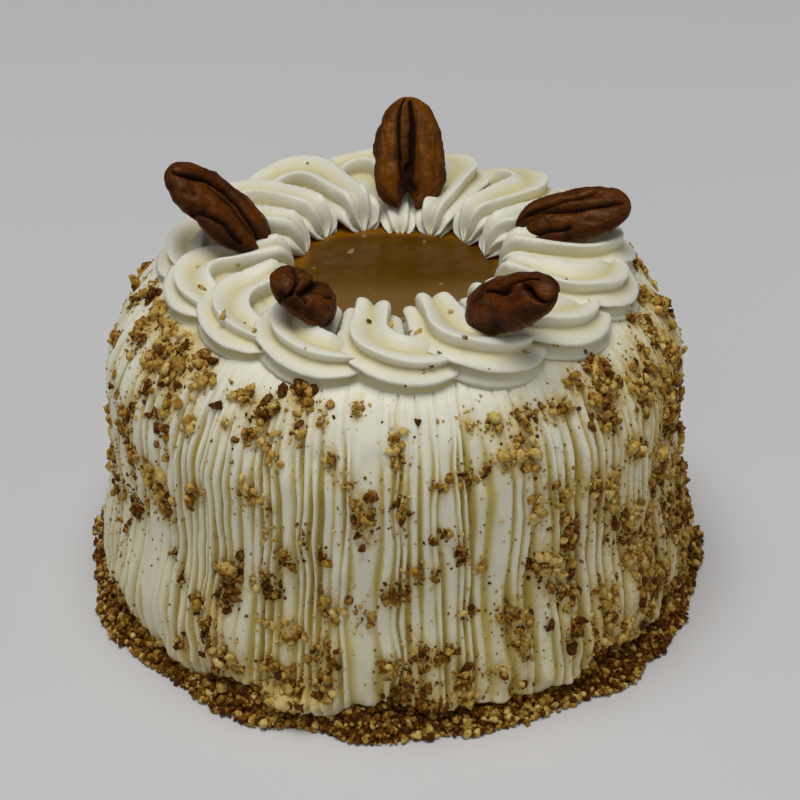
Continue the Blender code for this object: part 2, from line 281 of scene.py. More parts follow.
def makeStudio():
    half = studio["floorSize"] / 2
    corners = np.array([(-half, -half, 0), (half, -half, 0), (half, half, 0), (-half, half, 0)])
    finish = Finish("floorPaper", {"Roughness": studio["floorRoughness"]})
    finish.feed(Base_Color=(*studio["floorColour"], 1.0))
    floor = makePiece("floor", corners, np.array([[0, 1, 2, 3]]), finish.material, smooth=False)
    for name, place, width, watts in studio["lights"]:
        data = bpy.data.lights.new(name, "AREA")
        data.shape, data.size, data.energy = "DISK", width, watts
        light = bpy.data.objects.new(name, data)
        light.location = place
        away = np.subtract(place, studio["aim"])
        light.rotation_euler = (math.atan2(math.hypot(away[0], away[1]), away[2]), 0.0,
                                math.atan2(away[1], away[0]) + math.pi / 2)
        bpy.context.scene.collection.objects.link(light)
    world = bpy.data.worlds.new("world")
    world.use_nodes = True
    sky = world.node_tree.nodes["Background"]
    sky.inputs["Color"].default_value = (*studio["world"], 1.0)
    sky.inputs["Strength"].default_value = studio["worldStrength"]
    bpy.context.scene.world = world
    bpy.context.scene.view_settings.view_transform = "Standard"
    bpy.context.scene.view_settings.look = "None"


makeCamera()
makeStudio()
print("camera, floor and lights: done")

# Whipped cream: the side's colour at the foot, yellowed there by painted warm light from below,
# and further up, its painted shade in grooves, its stains, the piped swirls' colours and their
# painted shade, and what the bumps are like. A layer of colour has the values that it comes in
# between, and may have its shares there. Noise is its scale, detail and roughness. A surface's
# own roughness has the noise that it changes between, then its two ends.
creamLook = {
    # low and high: the side's colour at the foot, yellowed by painted warm light from below, and higher
    # up
    "low": (0.79, 0.74, 0.52), "high": ((0.85, 0.825, 0.665), 0.0, 0.092),
    "shade": ((0.60, 0.48, 0.13), 0.12, 1.0), "patchNoise": (55.0, 2.0), "patchy": 0.35,
    "stain": ((0.60, 0.42, 0.09), 0.08, 0.80, 0.0, 0.85), "dustNoise": (520.0, 3.0, 0.65),
    "dusty": 0.9, "piped": (0.805, 0.78, 0.65), "pipedShade": ((0.69, 0.60, 0.28), 0.12, 1.0),
    "pitNoise": (420.0, 4.0, 0.6), "softNoise": (130.0, 2.0), "pits": 0.35, "bumpHeight": 0.00022,
    "streakNoise": (950.0, 3.0, 0.6), "streakStretch": (1.0, 1.0, 0.07),
    "streakTop": (0.098, 0.080), "streakHeight": 0.00030, "roughness": (0.3, 0.7, 0.38, 0.52),
    "fixed": {"Subsurface Weight": 0.30, "Subsurface Radius": (1.0, 0.8, 0.45),
              "Subsurface Scale": 0.0022, "IOR": 1.40},
}


# Ivory, with painted yellow shade down in its grooves and painted warm light yellowing the side
# towards the foot, a little translucent, faintly pitted, and on the side finely streaked by the comb.
def creamFinish(name, streaked):
    look = creamLook
    finish = Finish(name, look["fixed"])
    places = finish.places()
    patches = finish.noise(places, *look["patchNoise"])
    colour, shade = look["piped"], look["pipedShade"]
    if streaked:
        height = finish.axis(places, "Z")
        # painted warm light: the side goes from the yellower colour at the foot to the paler one higher
        # up
        colour, shade = finish.tint(look["low"], height, look["high"]), look["shade"]
    # painted shade: the colour goes yellower and darker where the groove value is high, in grooves,
    # hollows and under overhangs
    groove = finish.attribute("groove") + look["patchy"] * (patches - 0.5)
    colour = finish.tint(colour, groove, shade)
    if streaked:
        dust = finish.noise(places, *look["dustNoise"])
        stain = finish.attribute("stain") + look["dusty"] * (dust - 0.5)
        colour = finish.tint(colour, stain, look["stain"])
    pits = finish.noise(places, *look["pitNoise"])
    soft = finish.noise(places, *look["softNoise"])
    normal = finish.bump(pits * look["pits"] + soft * (1.0 - look["pits"]), look["bumpHeight"])
    if streaked:
        drawnOut = finish.add("Mapping", {}, {"Vector": places, "Scale": look["streakStretch"]})
        lines = finish.noise(drawnOut, *look["streakNoise"])
        lines = lines * finish.spread(height, *look["streakTop"])
        normal = finish.bump(lines, look["streakHeight"], Normal=normal)
    roughness = finish.spread(patches, *look["roughness"])
    return finish.feed(Base_Color=colour, Roughness=roughness, Normal=normal)


combedMaterial = creamFinish("combedCream", True)
pipedMaterial = creamFinish("pipedCream", False)

# The combed side, in metres and, for bearings, degrees. Distances up are along the outline,
# and a pair of them is where something goes from nothing to full.
combedSide = {
    "columns": 1440, "rows": (0, 15, 45, 64), "rowsUp": (0.0, 0.012, 0.085),   # crowded at the foot
    "ridges": 150, "unevenWidths": 0.48, "crest": 0.0006,
    "depth": 0.0020, "depthSpread": 0.42, "depthVaries": (0.9, 0.7, 0.15, 1.6), "deepest": 0.0036,
    # painted shade in the grooves, more where they are deep, and in the hollows of lumps and under the
    # hem
    "sharpness": 1.5, "shadeDepth": 0.0024, "lumpShade": 0.3, "tuckShade": 0.8,
    "narrow": 0.50, "wide": 1.0, "varyAlong": 0.017,        # width of a groove beside its ridge's
    "wander": 0.0012, "wanderAlong": 0.034, "wanderAcross": 26, "wanderFiner": (4, 0.35, 0.7),
    "combFoot": (0.001, 0.010), "combTop": (0.104, 0.074), "topShare": 0.30,
    "strokeTop": 0.1075, "strokeSpread": 0.012, "arch": 0.012,
    "cleanStretch": (322.0, 16.0, 0.012),   # bearing, half width, how much lower strokes begin
    # where the comb hardly touched: bearing, half width, distance up, half height
    "untouched": ((216.0, 6.0, 0.032, 0.020), (118.0, 8.0, 0.050, 0.020)), "untouchedBy": 0.7,
    "lumps": 0.0012, "lumpCount": 44, "lumpAlong": 0.026, "lumpTop": (0.108, 0.085),
    "dents": 0.0005, "dentCount": 170, "dentAlong": 0.0065, "dentTop": (0.100, 0.085), "dentShare": 0.2,
    "lobes": 44, "lobeAlong": 0.006, "lobeTop": (0.016, 0.004), "footBulge": 0.0026,
    "hem": 0.0035, "hemHeap": 0.0085, "hemLobe": 0.0015, "hemEdge": (0.0010, -0.0030),
    "footTuck": 0.0048, "foldLobe": 0.35,
    # where the cream curls out low down: bearing, distance up, half width and height in
    # millimetres, and how far out in millimetres
    "folds": ((246, 7.5, 8, 2.6, 3.0), (254, 9.0, 9, 2.4, 3.4), (297, 10, 3.5, 5.5, 2.6),
              (292, 6, 6, 2.2, 2.4), (306, 17, 3.5, 4.5, 2.2), (322, 22, 4, 4, 2.4),
              (330, 8, 9, 3, 2.4), (205, 16, 9, 5, 1.8), (226, 8, 5, 3, 2.0),
              (20, 8, 9, 3, 2.6), (62, 9, 7, 3, 2.8), (101, 7, 9, 2.5, 2.8), (150, 9, 8, 3, 2.6)),
    "seed": 8,
}

# The skirt of crumbs that fell round the foot, in metres, and the bed under them. A pair is
# where the heap is lowest and where it is highest.
footCrumbs = {
    "count": 9000, "inner": 0.0845, "outer": (0.0925, 0.0985), "size": (0.0007, 0.0034),
    "pile": (0.0040, 0.0150), "tone": 0.26, "toneSpread": 0.26, "patchy": 0.22,
    "clumps": 34, "clumpShares": (0.40, 0.25), "seed": 77,
    "outwards": 0.9, "smaller": 1.4,        # how the draws of distance and size are bent
    "leastUp": 0.55, "raised": 0.35,        # shares of the heap's height and of a crumb's size
    "toneSteps": (60, 8.0),
    "bedColumns": 1400, "bedRows": 20, "bedHigh": 0.75, "bedInside": 0.0016, "bedBumps": 0.0007,
    "bedTone": 0.24, "bedPatchy": 0.16, "bedBumpSteps": (700, 9.0), "bedToneSteps": (300, 9.0),
}


# The drum's outline as (distance from the foot along it, radius, height): up the side,
# flared by s*s*(3 - 2s) at the foot, and over a superelliptic shoulder.
def cakeOutline():
    form = cakeForm
    straight = np.linspace(0.0, form["height"] - form["shoulderDrop"], 400)
    down = np.clip(form["footSteepness"] * (1.0 - straight / form["footHeight"]), 0.0, 1.0)
    sideRadius = form["radius"] + form["footSpread"] * down * down * (3.0 - 2.0 * down)
    turn = np.linspace(0.0, math.pi / 2, 400)[1:]
    power = 2.0 / form["shoulderBend"]
    radius = form["radius"] - form["shoulderWidth"] * (1.0 - np.cos(turn) ** power)
    height = form["height"] - form["shoulderDrop"] * (1.0 - np.sin(turn) ** power)
    radius, height = np.append(sideRadius, radius), np.append(straight, height)
    along = np.append(0.0, np.cumsum(np.hypot(np.diff(radius), np.diff(height))))
    return along, radius, height


outlineAlong, outlineRadius, outlineHeight = cakeOutline()
outlineLength = outlineAlong[-1]


# Radius, height and outward direction of the smooth drum at a distance up its outline.
def drumAt(along):
    step = 0.0015
    ahead, behind = (np.clip(along + move, 0.0, outlineLength) for move in (step, -step))
    dr, dz = (np.interp(ahead, outlineAlong, line) - np.interp(behind, outlineAlong, line)
              for line in (outlineRadius, outlineHeight))
    radius, height = (np.interp(along, outlineAlong, line)
                      for line in (outlineRadius, outlineHeight))
    size = np.hypot(dr, dz)
    return radius, height, dz / size, -dr / size


# What the comb leaves at turns round the cake (0 to 1) and distances up the outline: its
# height over the smooth drum, and how deep in a groove it is.
# Grooves stand at uneven turns. Beside one the cream falls by depth * (1 - d / w)^sharpness,
# where d is 0 in the groove and 1 in the middle of the ridge, and w is the groove's own
# width, which noise varies and which comes to a point at the top of the stroke.
def combRelief(turn, along):
    side = combedSide
    seed = side["seed"]
    rng = np.random.default_rng(seed)
    ridges = side["ridges"]
    widths = np.exp(side["unevenWidths"] * rng.normal(size=ridges))
    edges = np.append(0.0, np.cumsum(widths)) / widths.sum()
    depths = side["depth"] * np.exp(side["depthSpread"] * rng.normal(size=ridges))
    crests = side["crest"] * rng.uniform(-1.0, 1.0, ridges)
    starts = rng.uniform(0.0, 1.0, ridges)
    steps, upStep = side["wanderAcross"], side["wanderAlong"]
    times, shorter, lower = side["wanderFiner"]
    finer = roundNoise(turn, times * steps, along / (shorter * upStep), seed + 4)
    wander = side["wander"] * (roundNoise(turn, steps, along / upStep, seed + 3) + lower * finer)
    moved = (turn + wander / (math.tau * cakeForm["radius"])) % 1.0
    ridge = np.interp(moved, edges, np.arange(ridges + 1.0))
    nearest = np.round(ridge).astype(int) % ridges
    within = np.floor(ridge).astype(int) % ridges
    d = np.clip(2.0 * np.abs(ridge - np.round(ridge)), 0.0, 1.0)
    varied = valueNoise(nearest * 3.7, along / side["varyAlong"], seed + 5)
    stroke = np.clip((combStart(turn, starts[nearest]) - along) / side["arch"], 0.0, 1.0)
    width = side["narrow"] + (side["wide"] - side["narrow"]) * (0.5 + 0.5 * varied)
    width = width * np.sqrt(stroke * (2.0 - stroke)) + 1e-4
    fall = np.clip(1.0 - d / width, 0.0, 1.0) ** side["sharpness"]
    mean, more, least, most = side["depthVaries"]
    depth = np.minimum(depths[nearest] * np.clip(mean + more * varied, least, most), side["deepest"])
    atTop = side["topShare"] + (1.0 - side["topShare"]) * smoothStep(along, *side["combTop"])
    combed = pressedShare(turn, along) * smoothStep(along, *side["combFoot"]) * atTop
    lift = crests[within] * (1.0 - (1.0 - d) ** 2)
    relief = combed * (lift * stroke - depth * fall)
    # the second value is how much painted shade a groove takes, more where it is deep
    return relief, combed ** 1.5 * fall * (0.5 + depth / side["shadeDepth"])


# Height of the cream over the smooth drum, and how deep in a groove it is (0 to 1), which is
# also how much painted shade its colour takes: what the comb leaves, with noise for lumps, dents
# and lobes at the foot. Folds are bells low down, and the foot is tucked in below a hem. Painted
# shade is added in the hollows of lumps and under the hem.
def creamRelief(turn, along):
    side = combedSide
    seed = side["seed"]
    relief, groove = combRelief(turn, along)
    lump = roundNoise(turn, side["lumpCount"], along / side["lumpAlong"], seed + 6)
    relief = relief + side["lumps"] * lump * smoothStep(along, *side["lumpTop"])
    dent = roundNoise(turn, side["dentCount"], along / side["dentAlong"], seed + 10)
    dented = side["dentShare"] + (1.0 - side["dentShare"]) * smoothStep(along, *side["dentTop"])
    relief = relief + side["dents"] * dent * dented
    lobe = (roundNoise(turn, side["lobes"], 0.0 * along, seed + 8)
            + 0.5 * roundNoise(turn, 2 * side["lobes"], along / side["lobeAlong"], seed + 9))
    relief = relief + side["footBulge"] * lobe * smoothStep(along, *side["lobeTop"])
    hem = side["hem"] + side["hemHeap"] * heapAt(turn) ** 1.3 + side["hemLobe"] * lobe
    above, below = side["hemEdge"]
    tuck = smoothStep(along, hem + above, hem + below)
    relief = relief - side["footTuck"] * tuck
    for bearing, up, wide, high, out in side["folds"]:
        curl = bell(asideFrom(turn, bearing), wide, 1000.0 * along - up, high)
        relief = relief + out / 1000.0 * curl * (1.0 + side["foldLobe"] * lobe)
    # painted shade in the hollows of lumps and where the foot is tucked under the hem
    groove = groove + side["lumpShade"] * np.maximum(-lump, 0.0) + side["tuckShade"] * tuck
    return relief, np.clip(groove, 0.0, 1.0)


# How high the crumbs are heaped against the foot at a turn, 0 to 1: noise in two sizes.
def heapAt(turn):
    clumps, seed = footCrumbs["clumps"], footCrumbs["seed"]
    coarse = roundNoise(turn, clumps, 0.0 * turn, seed)
    finer = roundNoise(turn, 3 * clumps, 0.0 * turn, seed + 1)
    more, less = footCrumbs["clumpShares"]
    return np.clip(0.5 + more * coarse + less * finer, 0.0, 1.0)


# How far up the outline each stroke of the comb begins: near the swirls, and lower at the
# clean stretch of shoulder right of the front.
def combStart(turn, draw):
    side = combedSide
    bearing, wide, lower = side["cleanStretch"]
    clean = bell(turn * 360.0 - bearing, wide)
    return side["strokeTop"] - side["strokeSpread"] * draw ** 2 - lower * clean


# How hard the comb pressed, 0 to 1.
def pressedShare(turn, along):
    missed = sum(bell(turn * 360.0 - bearing, wide, along - up, high)
                 for bearing, wide, up, high in combedSide["untouched"])
    return 1.0 - combedSide["untouchedBy"] * missed


# A point on the cream's surface and its outward direction, at turns and distances up.
def creamPoint(turn, along, lift=0.0):
    radius, height, outward, upward = drumAt(along)
    relief, groove = creamRelief(turn, along)
    angle, out = turn * math.tau, relief + lift
    points = ringPoints(angle, radius + outward * out, np.maximum(height + upward * out, 0.0))
    return points, ringPoints(angle, outward, upward), groove


# Chopped pecans in the cream. A patch is its bearing, its distance up the outline in
# millimetres, half its width and height in millimetres, how full it is, and its tone from
# 0, brown skin, to 1, pale flesh.
nutSpread = {
    "patches": (
        (188, 103, 3, 2.5, 1, 0.05), (196, 104, 6, 2, 0.9, 0.45), (204, 103, 5, 2.5, 0.8, 0.6),
        (196, 97, 4, 3, 0.7, 0.6), (208, 98, 6, 5, 0.8, 0.45), (205, 92, 3, 2, 0.6, 0.4),
        (213, 105, 5, 3, 0.8, 0.7), (217, 97, 4, 5, 0.8, 0.55), (215, 92, 2.5, 2, 0.8, 0.25),
        (222, 101, 6, 3.5, 0.8, 0.35), (226, 85, 3, 2.5, 0.8, 0.5), (207, 77, 2.5, 4, 0.8, 0.3),
        (203, 70, 5, 4, 0.5, 0.35), (207, 64, 5, 4, 0.7, 0.4), (215, 62, 6, 4, 0.7, 0.5),
        (220, 57, 5, 4, 0.8, 0.3), (208, 45, 4, 5, 0.8, 0.2), (196, 45, 8, 10, 0.4, 0.35),
        (222, 41, 1.5, 1.5, 0.7, 0.1), (205, 8, 6, 6, 0.9, 0.1), (225, 34, 1.5, 2, 0.8, 0.25),
        (249, 103, 5, 4, 1, 0.2), (243, 97, 4, 2.5, 0.8, 0.25), (242, 94, 3, 2, 0.9, 0.1),
        (237, 97, 4, 2, 0.8, 0.65), (235, 89, 2.5, 1.2, 0.8, 0.6), (241, 88, 5, 3, 0.6, 0.5),
        (246, 84, 3, 5, 0.5, 0.5), (250, 93, 2.5, 5, 0.7, 0.45), (255, 96, 2.5, 4, 0.6, 0.6),
        (262, 100, 2, 2, 1, 0.55), (230, 66, 2.5, 2.5, 0.8, 0.45), (227, 62, 2.5, 2.5, 0.8, 0.45),
        (246, 68, 1.5, 1, 1, 0.2), (245, 60, 3, 4, 0.5, 0.7), (249, 53, 3.5, 4, 0.8, 0.3),
        (256, 54, 1.3, 3, 0.9, 0.15), (260, 79, 2.5, 2, 0.6, 0.35), (258, 85, 1.2, 2, 0.8, 0.15),
        (264, 69, 3.5, 7, 1, 0.3), (271, 72, 2, 6, 0.9, 0.3), (237, 43, 4, 5, 1, 0.35),
        (236, 35, 3.5, 3, 1, 0.05), (246, 41, 3.2, 3.5, 1, 0.08), (245, 46, 2, 2, 0.8, 0.3),
        (242, 42, 2, 3, 0.5, 0.6), (248, 31, 7, 3, 0.8, 0.5), (230, 29, 2.5, 4, 0.8, 0.35),
        (234, 20, 4, 9, 0.8, 0.35), (226, 13, 2, 3, 0.8, 0.25), (263, 38, 4, 4, 0.4, 0.5),
        (247, 17, 4, 3, 0.8, 0.4), (251, 14, 3, 4, 0.8, 0.25), (256, 15, 3.5, 4, 0.8, 0.55),
        (268, 22, 3, 2, 0.8, 0.25), (271, 14, 5, 7, 0.8, 0.2), (270, 88, 3, 6, 0.8, 0.65),
        (285, 94, 2, 2, 0.8, 0.65), (290, 93, 2.5, 2, 0.9, 0.5), (296, 93, 4, 3, 0.8, 0.4),
        (303, 93, 3, 2, 0.8, 0.45), (306, 92, 2.5, 2.5, 0.9, 0.4), (315, 87, 5, 5, 0.9, 0.4),
        (291, 83, 3, 2.5, 0.8, 0.6), (287, 81, 1.3, 1, 1, 0.2), (283, 79, 4, 3, 0.6, 0.35),
        (278, 78, 2, 1.5, 0.9, 0.3), (297, 83, 2, 9, 0.5, 0.55), (297, 65, 2.5, 4, 0.8, 0.65),
        (302, 66, 1.8, 1.5, 1, 0.4), (311, 67, 2.5, 2.5, 0.8, 0.35), (282, 57, 1.8, 4, 0.9, 0.35),
        (274, 52, 1.2, 3, 0.8, 0.4), (277, 51, 1.2, 2.5, 0.8, 0.35), (286, 50, 1.5, 1.5, 0.8, 0.7),
        (271, 47, 2, 5, 0.6, 0.25), (297, 47, 3.5, 4, 0.9, 0.25), (304, 54, 5, 8, 0.7, 0.3),
        (292, 33, 5, 5, 1, 0.35), (303, 38, 5, 8, 0.6, 0.35), (274, 26, 2.5, 3, 0.9, 0.15),
        (279, 27, 2, 1.5, 0.9, 0.1), (283, 37, 3, 1.5, 0.7, 0.3), (293, 24, 3, 2, 0.8, 0.15),
        (304, 22, 5, 5, 0.6, 0.25), (281, 16, 1.5, 2.5, 0.8, 0.35), (275, 10, 4, 4, 0.8, 0.15),
        (339, 101, 3, 2, 0.8, 0.4), (351, 53, 3, 3, 1, 0.5), (355, 92, 3, 4, 1, 0.5),
        (352, 15, 4, 5, 1, 0.35), (347, 40, 3.5, 4, 1, 0.4), (348, 78, 3, 4, 0.9, 0.45),
        (352, 101, 6, 3, 0.9, 0.4), (344, 93, 3, 3, 0.8, 0.35), (347, 85, 3, 4, 0.8, 0.4),
        (330, 83, 3, 2, 0.7, 0.5),
    ),
    # single larger pieces: bearing, distance up in mm, size in mm, tone
    "pieces": (
        (188, 103, 6.5, 0.02), (231, 93, 4.6, 0.02), (249, 103, 4.8, 0.05), (243, 95, 4, 0.0),
        (236.5, 45, 5, 0.75), (235, 35, 4.2, 0.0), (246, 40, 5.2, 0.03), (262.5, 69, 3.6, 0.05),
        (274.5, 96.5, 2.6, 0.0), (291.5, 33, 4.6, 0.72), (299, 27, 3.4, 0.0), (274, 26, 3.2, 0.05),
        (302, 66, 2.8, 0.35), (310, 90, 2, 0.0), (262, 100, 3.2, 0.6), (291, 83, 3.4, 0.65),
        (306, 92, 3.6, 0.4), (313, 90, 3.8, 0.65), (218, 97, 4.4, 0.6), (196, 104, 5.5, 0.45),
        (352, 101, 6, 0.45), (346, 85, 4.5, 0.35), (256, 54, 3, 0.08), (297, 48, 4, 0.1),
        (218, 6, 4.2, 0.75), (229, 26, 3.6, 0.3), (282, 57, 3.4, 0.35), (245, 17, 3.6, 0.55),
        (355, 92, 6.5, 0.5), (351, 53, 5.5, 0.5), (347, 81, 5.5, 0.4), (350, 41, 6, 0.35),
        (352, 14, 5.5, 0.4), (356, 67, 4.5, 0.45), (344, 60, 4.5, 0.2), (189, 86, 4.5, 0.35),
    ),
    # patches drawn at random: how many, then ranges of bearing and distance up, and for all of
    # them ranges of half width, half height, fullness and tone
    "drawn": ((104, -2, 183, 6, 98), (26, -2, 183, 88, 103), (94, 308, 362, 8, 98),
              (18, 184, 222, 30, 96), (10, 188, 226, 84, 104), (20, 225, 300, 4, 26),
              (10, 236, 306, 30, 90), (30, 316, 358, 8, 90)),
    "drawnShapes": ((1.2, 4.5), (1.5, 6.5), (0.35, 1.0), (0.15, 0.65)),
    # large pieces drawn at the back: ranges of bearing, distance up, size and tone
    "back": 24, "backRanges": ((0, 180), (6, 103), (2.6, 6.0), (0.0, 0.7)),
    "stain": 0.85, "stainWide": (0.95, 0.8), "stainHigh": (1.35, 1.2),     # times, and mm more
    "footStain": 0.18, "footStainTop": (0.030, 0.004),
    # broad yellow-brown tints round the right side
    "broadTints": ((345, 30, 0.30), (304, 18, 0.14)),            # broad: bearing, half width, strength
    "size": (0.0011, 0.0044), "packing": 2.3, "gather": 0.55, "reach": 1.4, "lift": 0.0016,
    "toneSpread": 0.20, "skinBelow": 0.28, "ends": (0.001, 0.1055),
    "halo": 9.8, "haloReach": 1.4, "crumbSize": (0.0005, 0.0015),
    "crumbTone": 0.15, "crumbToneSpread": 0.25,             # how much paler than the patch
    "loose": 4200, "looseUp": (6, 103), "dustSize": (0.00045, 0.00153), "dustTone": (0.25, 0.95),
    "dustBend": 1.3, "dustOnRidges": 0.15,
    "bare": (252, 32, 0.60), "clean": (324, 9, 95, 9),      # where little dust and none lies
    "specks": 260, "speckUp": (0.004, 0.104), "speckSize": (0.0004, 0.0011),
    "seed": 31,
}


# All patches as rows: the listed ones, then the drawn ones.
def nutPatches():
    rng = np.random.default_rng(nutSpread["seed"])
    groups = [np.array(nutSpread["patches"], float)]
    for count, left, right, low, high in nutSpread["drawn"]:
        ranges = ((left, right), (low, high), *nutSpread["drawnShapes"])
        groups.append(np.stack([rng.uniform(*ends, count) for ends in ranges], axis=-1))
    return np.concatenate(groups)


# How far the cream is tinted yellow-brown, 0 to 1: the crumbs' stains as bells that reach a
# little past the patches and as a band at the foot, and broad tints round the right side, joined
# as 1 - (1 - a)(1 - b).
def nutStain(turn, along):
    spread = nutSpread
    clean = 1.0 - spread["footStain"] * smoothStep(along, *spread["footStainTop"]) + 0.0 * turn
    (wider, besides), (higher, above) = spread["stainWide"], spread["stainHigh"]
    for bearing, up, wide, high, full, _ in nutPatches():
        wide, high = wider * wide + besides, higher * high + above
        mark = bell(asideFrom(turn, bearing), wide, 1000.0 * along - up, high)
        clean = clean * (1.0 - spread["stain"] * full * mark)
    for bearing, wide, strength in spread["broadTints"]:
        clean = clean * (1.0 - strength * bell(360.0 * turnsFrom(turn, bearing), wide))
    return 1.0 - clean


# The cream and the cake under it as one skin: up the combed side, across the flat top and
# down into the dish that holds the caramel.
def makeCreamBody():
    side, form = combedSide, cakeForm
    row = np.arange(side["rows"][-1] + 1)
    rows = np.interp(row, side["rows"], (*side["rowsUp"], outlineLength))
    turn = np.arange(side["columns"]) / side["columns"]
    grid, _, groove = creamPoint(turn[None, :], rows[:, None])
    stain = nutStain(turn[None, :], rows[:, None])
    flat = form["radius"] - form["shoulderWidth"]
    edge = form["poolRadius"] + form["gap"]
    top, bottom = form["height"], form["height"] - form["poolDepth"] - 2 * form["gap"]
    middle = np.array((form["ringX"], form["ringY"]))
    rings = [ringPoints(turn * math.tau, flat + (edge - flat) * share, height, share * middle)
             for share, height in ((0.5, top), (1.0, top), (1.0, bottom))]
    bare = np.zeros((len(rings), len(turn)))
    values = {"groove": (np.concatenate([groove, bare]), (1.0, 0.0)),
              "stain": (np.concatenate([stain, bare]), (0.0, 0.0))}
    makeSkin("combedCream", np.concatenate([grid, rings]), combedMaterial, values, "cream", "cake",
             [(0.0, 0.0, 0.0), (*middle, bottom)])


makeCreamBody()
print("combed cream: done")

# One piped swirl: a rope of star-tip cream that runs outwards from the pool, then hooks round
# to the right until its tail goes under the next one's side. Values in a row hold from the
# start of the straight part, over its end, to the end of the hook.
pipedSwirl = {
    "count": 15, "firstBearing": 268.0, "ringRadius": 0.0505,
    "pivot": -0.0048,                       # what it hooks round, to the left of its middle
    "pressed": {7: 0.80, 8: 0.48},          # how low a pecan half presses the start of one
    # how far the straight part reaches inwards, at bearings round the ring
    "bearings": (0, 31, 45, 65, 90, 118, 135, 151, 169, 185, 200, 230, 270, 310, 335),
    "arms": (0.0220, 0.0235, 0.0260, 0.0290, 0.0297, 0.0270, 0.0228, 0.0212, 0.0230, 0.0220,
             0.0185, 0.0155, 0.0140, 0.0155, 0.0195),
    "hook": 150.0, "hookRadius": 0.0115, "crowding": 0.45,
    "inner": (0.0036, 0.0014, 0.0010, 0.0012, 0.0020),
    "outer": (0.0216, 0.0214, 0.0216, 0.0200, 0.0150),
    "stages": (0.0, 1.0, 1.5, 1.8, 2.0), "blend": (-0.15, -0.05, 0.05, 0.15),
    "height": 0.0136, "heights": (1.04, 0.95, 0.86, 0.62, 0.20),
    "waists": (0.44, 0.36, 0.28, 0.25, 0.25),
    "foot": 120.0, "crests": (-170.0, -92.0, -28.0, 33.0, 75.0, 112.0, 150.0),
    "crestShifts": (0.0, 0.0, 7.0, 10.0, 2.0, 0.0, 0.0),
    "groove": 0.385, "crestRound": 0.045, "sharpness": 1.75,
    "knob": 1.9, "knobLeast": 0.15, "knobEnds": (0.95, 0.25), "pressedEnds": (0.9, 0.1),
    "finger": 0.0012, "blunt": 0.0062, "tail": 0.0085, "sunk": 0.0006,
    # on the far side of the pool knobs are narrower, fingers longer, and starts wider, higher
    # and with less painted shade in their valleys, between shares of the straight part
    "farSide": (-0.2, 0.5), "farKnob": 0.3, "farFinger": 0.5,
    "nose": (0.7, 0.1), "noseWide": 0.7, "noseHigh": 0.3, "nosePale": 0.4,
    # grooves at the ends: how deep, how much more on the far side, and the rise that fills them
    "endGroove": (0.2, 0.4, 0.8),
    # painted shade: how much down in the valleys, and how much near the foot, below this height
    "shade": 0.75, "footShade": 0.5, "footShadeUp": 0.0030,
    # noise: how much, its steps along and across, and its seed
    "uneven": (0.06, 3.0, 0.0, 80), "sway": (6.0, 3.0, 2.0, 60), "lumpy": (0.05, 5.0, 4.0, 120),
    "ragged": 0.022, "raggedSteps": 85.0, "raggedSeed": 100,
    "own": (0.0015, 8.0, 5.0, 0.042, 0.0008),   # spread of arm, hook, lean, size and pivot
    "ownSeed": 400,
    "ends": (0.004, 0.996), "steps": 130, "across": 80, "under": 6,
}


# Height of the cake's smooth top and shoulder at a distance from the axis.
def topSurface(radius):
    form = cakeForm
    out = np.clip((radius - form["radius"] + form["shoulderWidth"]) / form["shoulderWidth"], 0, 1)
    bend = form["shoulderBend"]
    return form["height"] - form["shoulderDrop"] * (1.0 - (1.0 - out ** bend) ** (1.0 / bend))


# Turns places in the ring at a bearing into world ones: inward is towards the pool, and left
# is measured along the ring. Widths shrink towards the middle, but less than the ring's own
# length does, so the swirls crowd together at the pool.
def ringPlace(bearing, inward, left):
    ring, crowding = pipedSwirl["ringRadius"], pipedSwirl["crowding"]
    angle = bearing - left / (ring - crowding * np.maximum(inward, 0.0))
    return ringPoints(angle, ring - inward, 0.0, (cakeForm["ringX"], cakeForm["ringY"]))


# How far a swirl's straight part reaches inwards: furthest at the back.
def armLength(bearing):
    return np.interp(np.degrees(bearing), pipedSwirl["bearings"], pipedSwirl["arms"], period=360.0)


# A swirl's own noise at shares of its length and of its arch.
def wobble(key, number, share, arch):
    much, along, across, seed = pipedSwirl[key]
    return much * valueNoise(share * along, arch * across, seed + number)


# The tooth nearest to a lean in degrees, and d, from 0 on its crest, which a hyperbola
# rounds, to 1 midway to the next.
def toothAt(lean, stage):
    shape = pipedSwirl
    crests = [crest + shift * (stage - 1.0)
              for crest, shift in zip(shape["crests"], shape["crestShifts"])]
    tooth = sum(np.clip((lean - low) / (high - low), 0.0, 1.0)
                for low, high in zip(crests, crests[1:]))
    nearest, edge = np.round(tooth), shape["crestRound"]
    d = 2.0 * np.abs(tooth - nearest)
    d = np.clip((np.hypot(d, edge) - edge) / (math.hypot(1.0, edge) - edge), 0.0, 1.0)
    return nearest, d


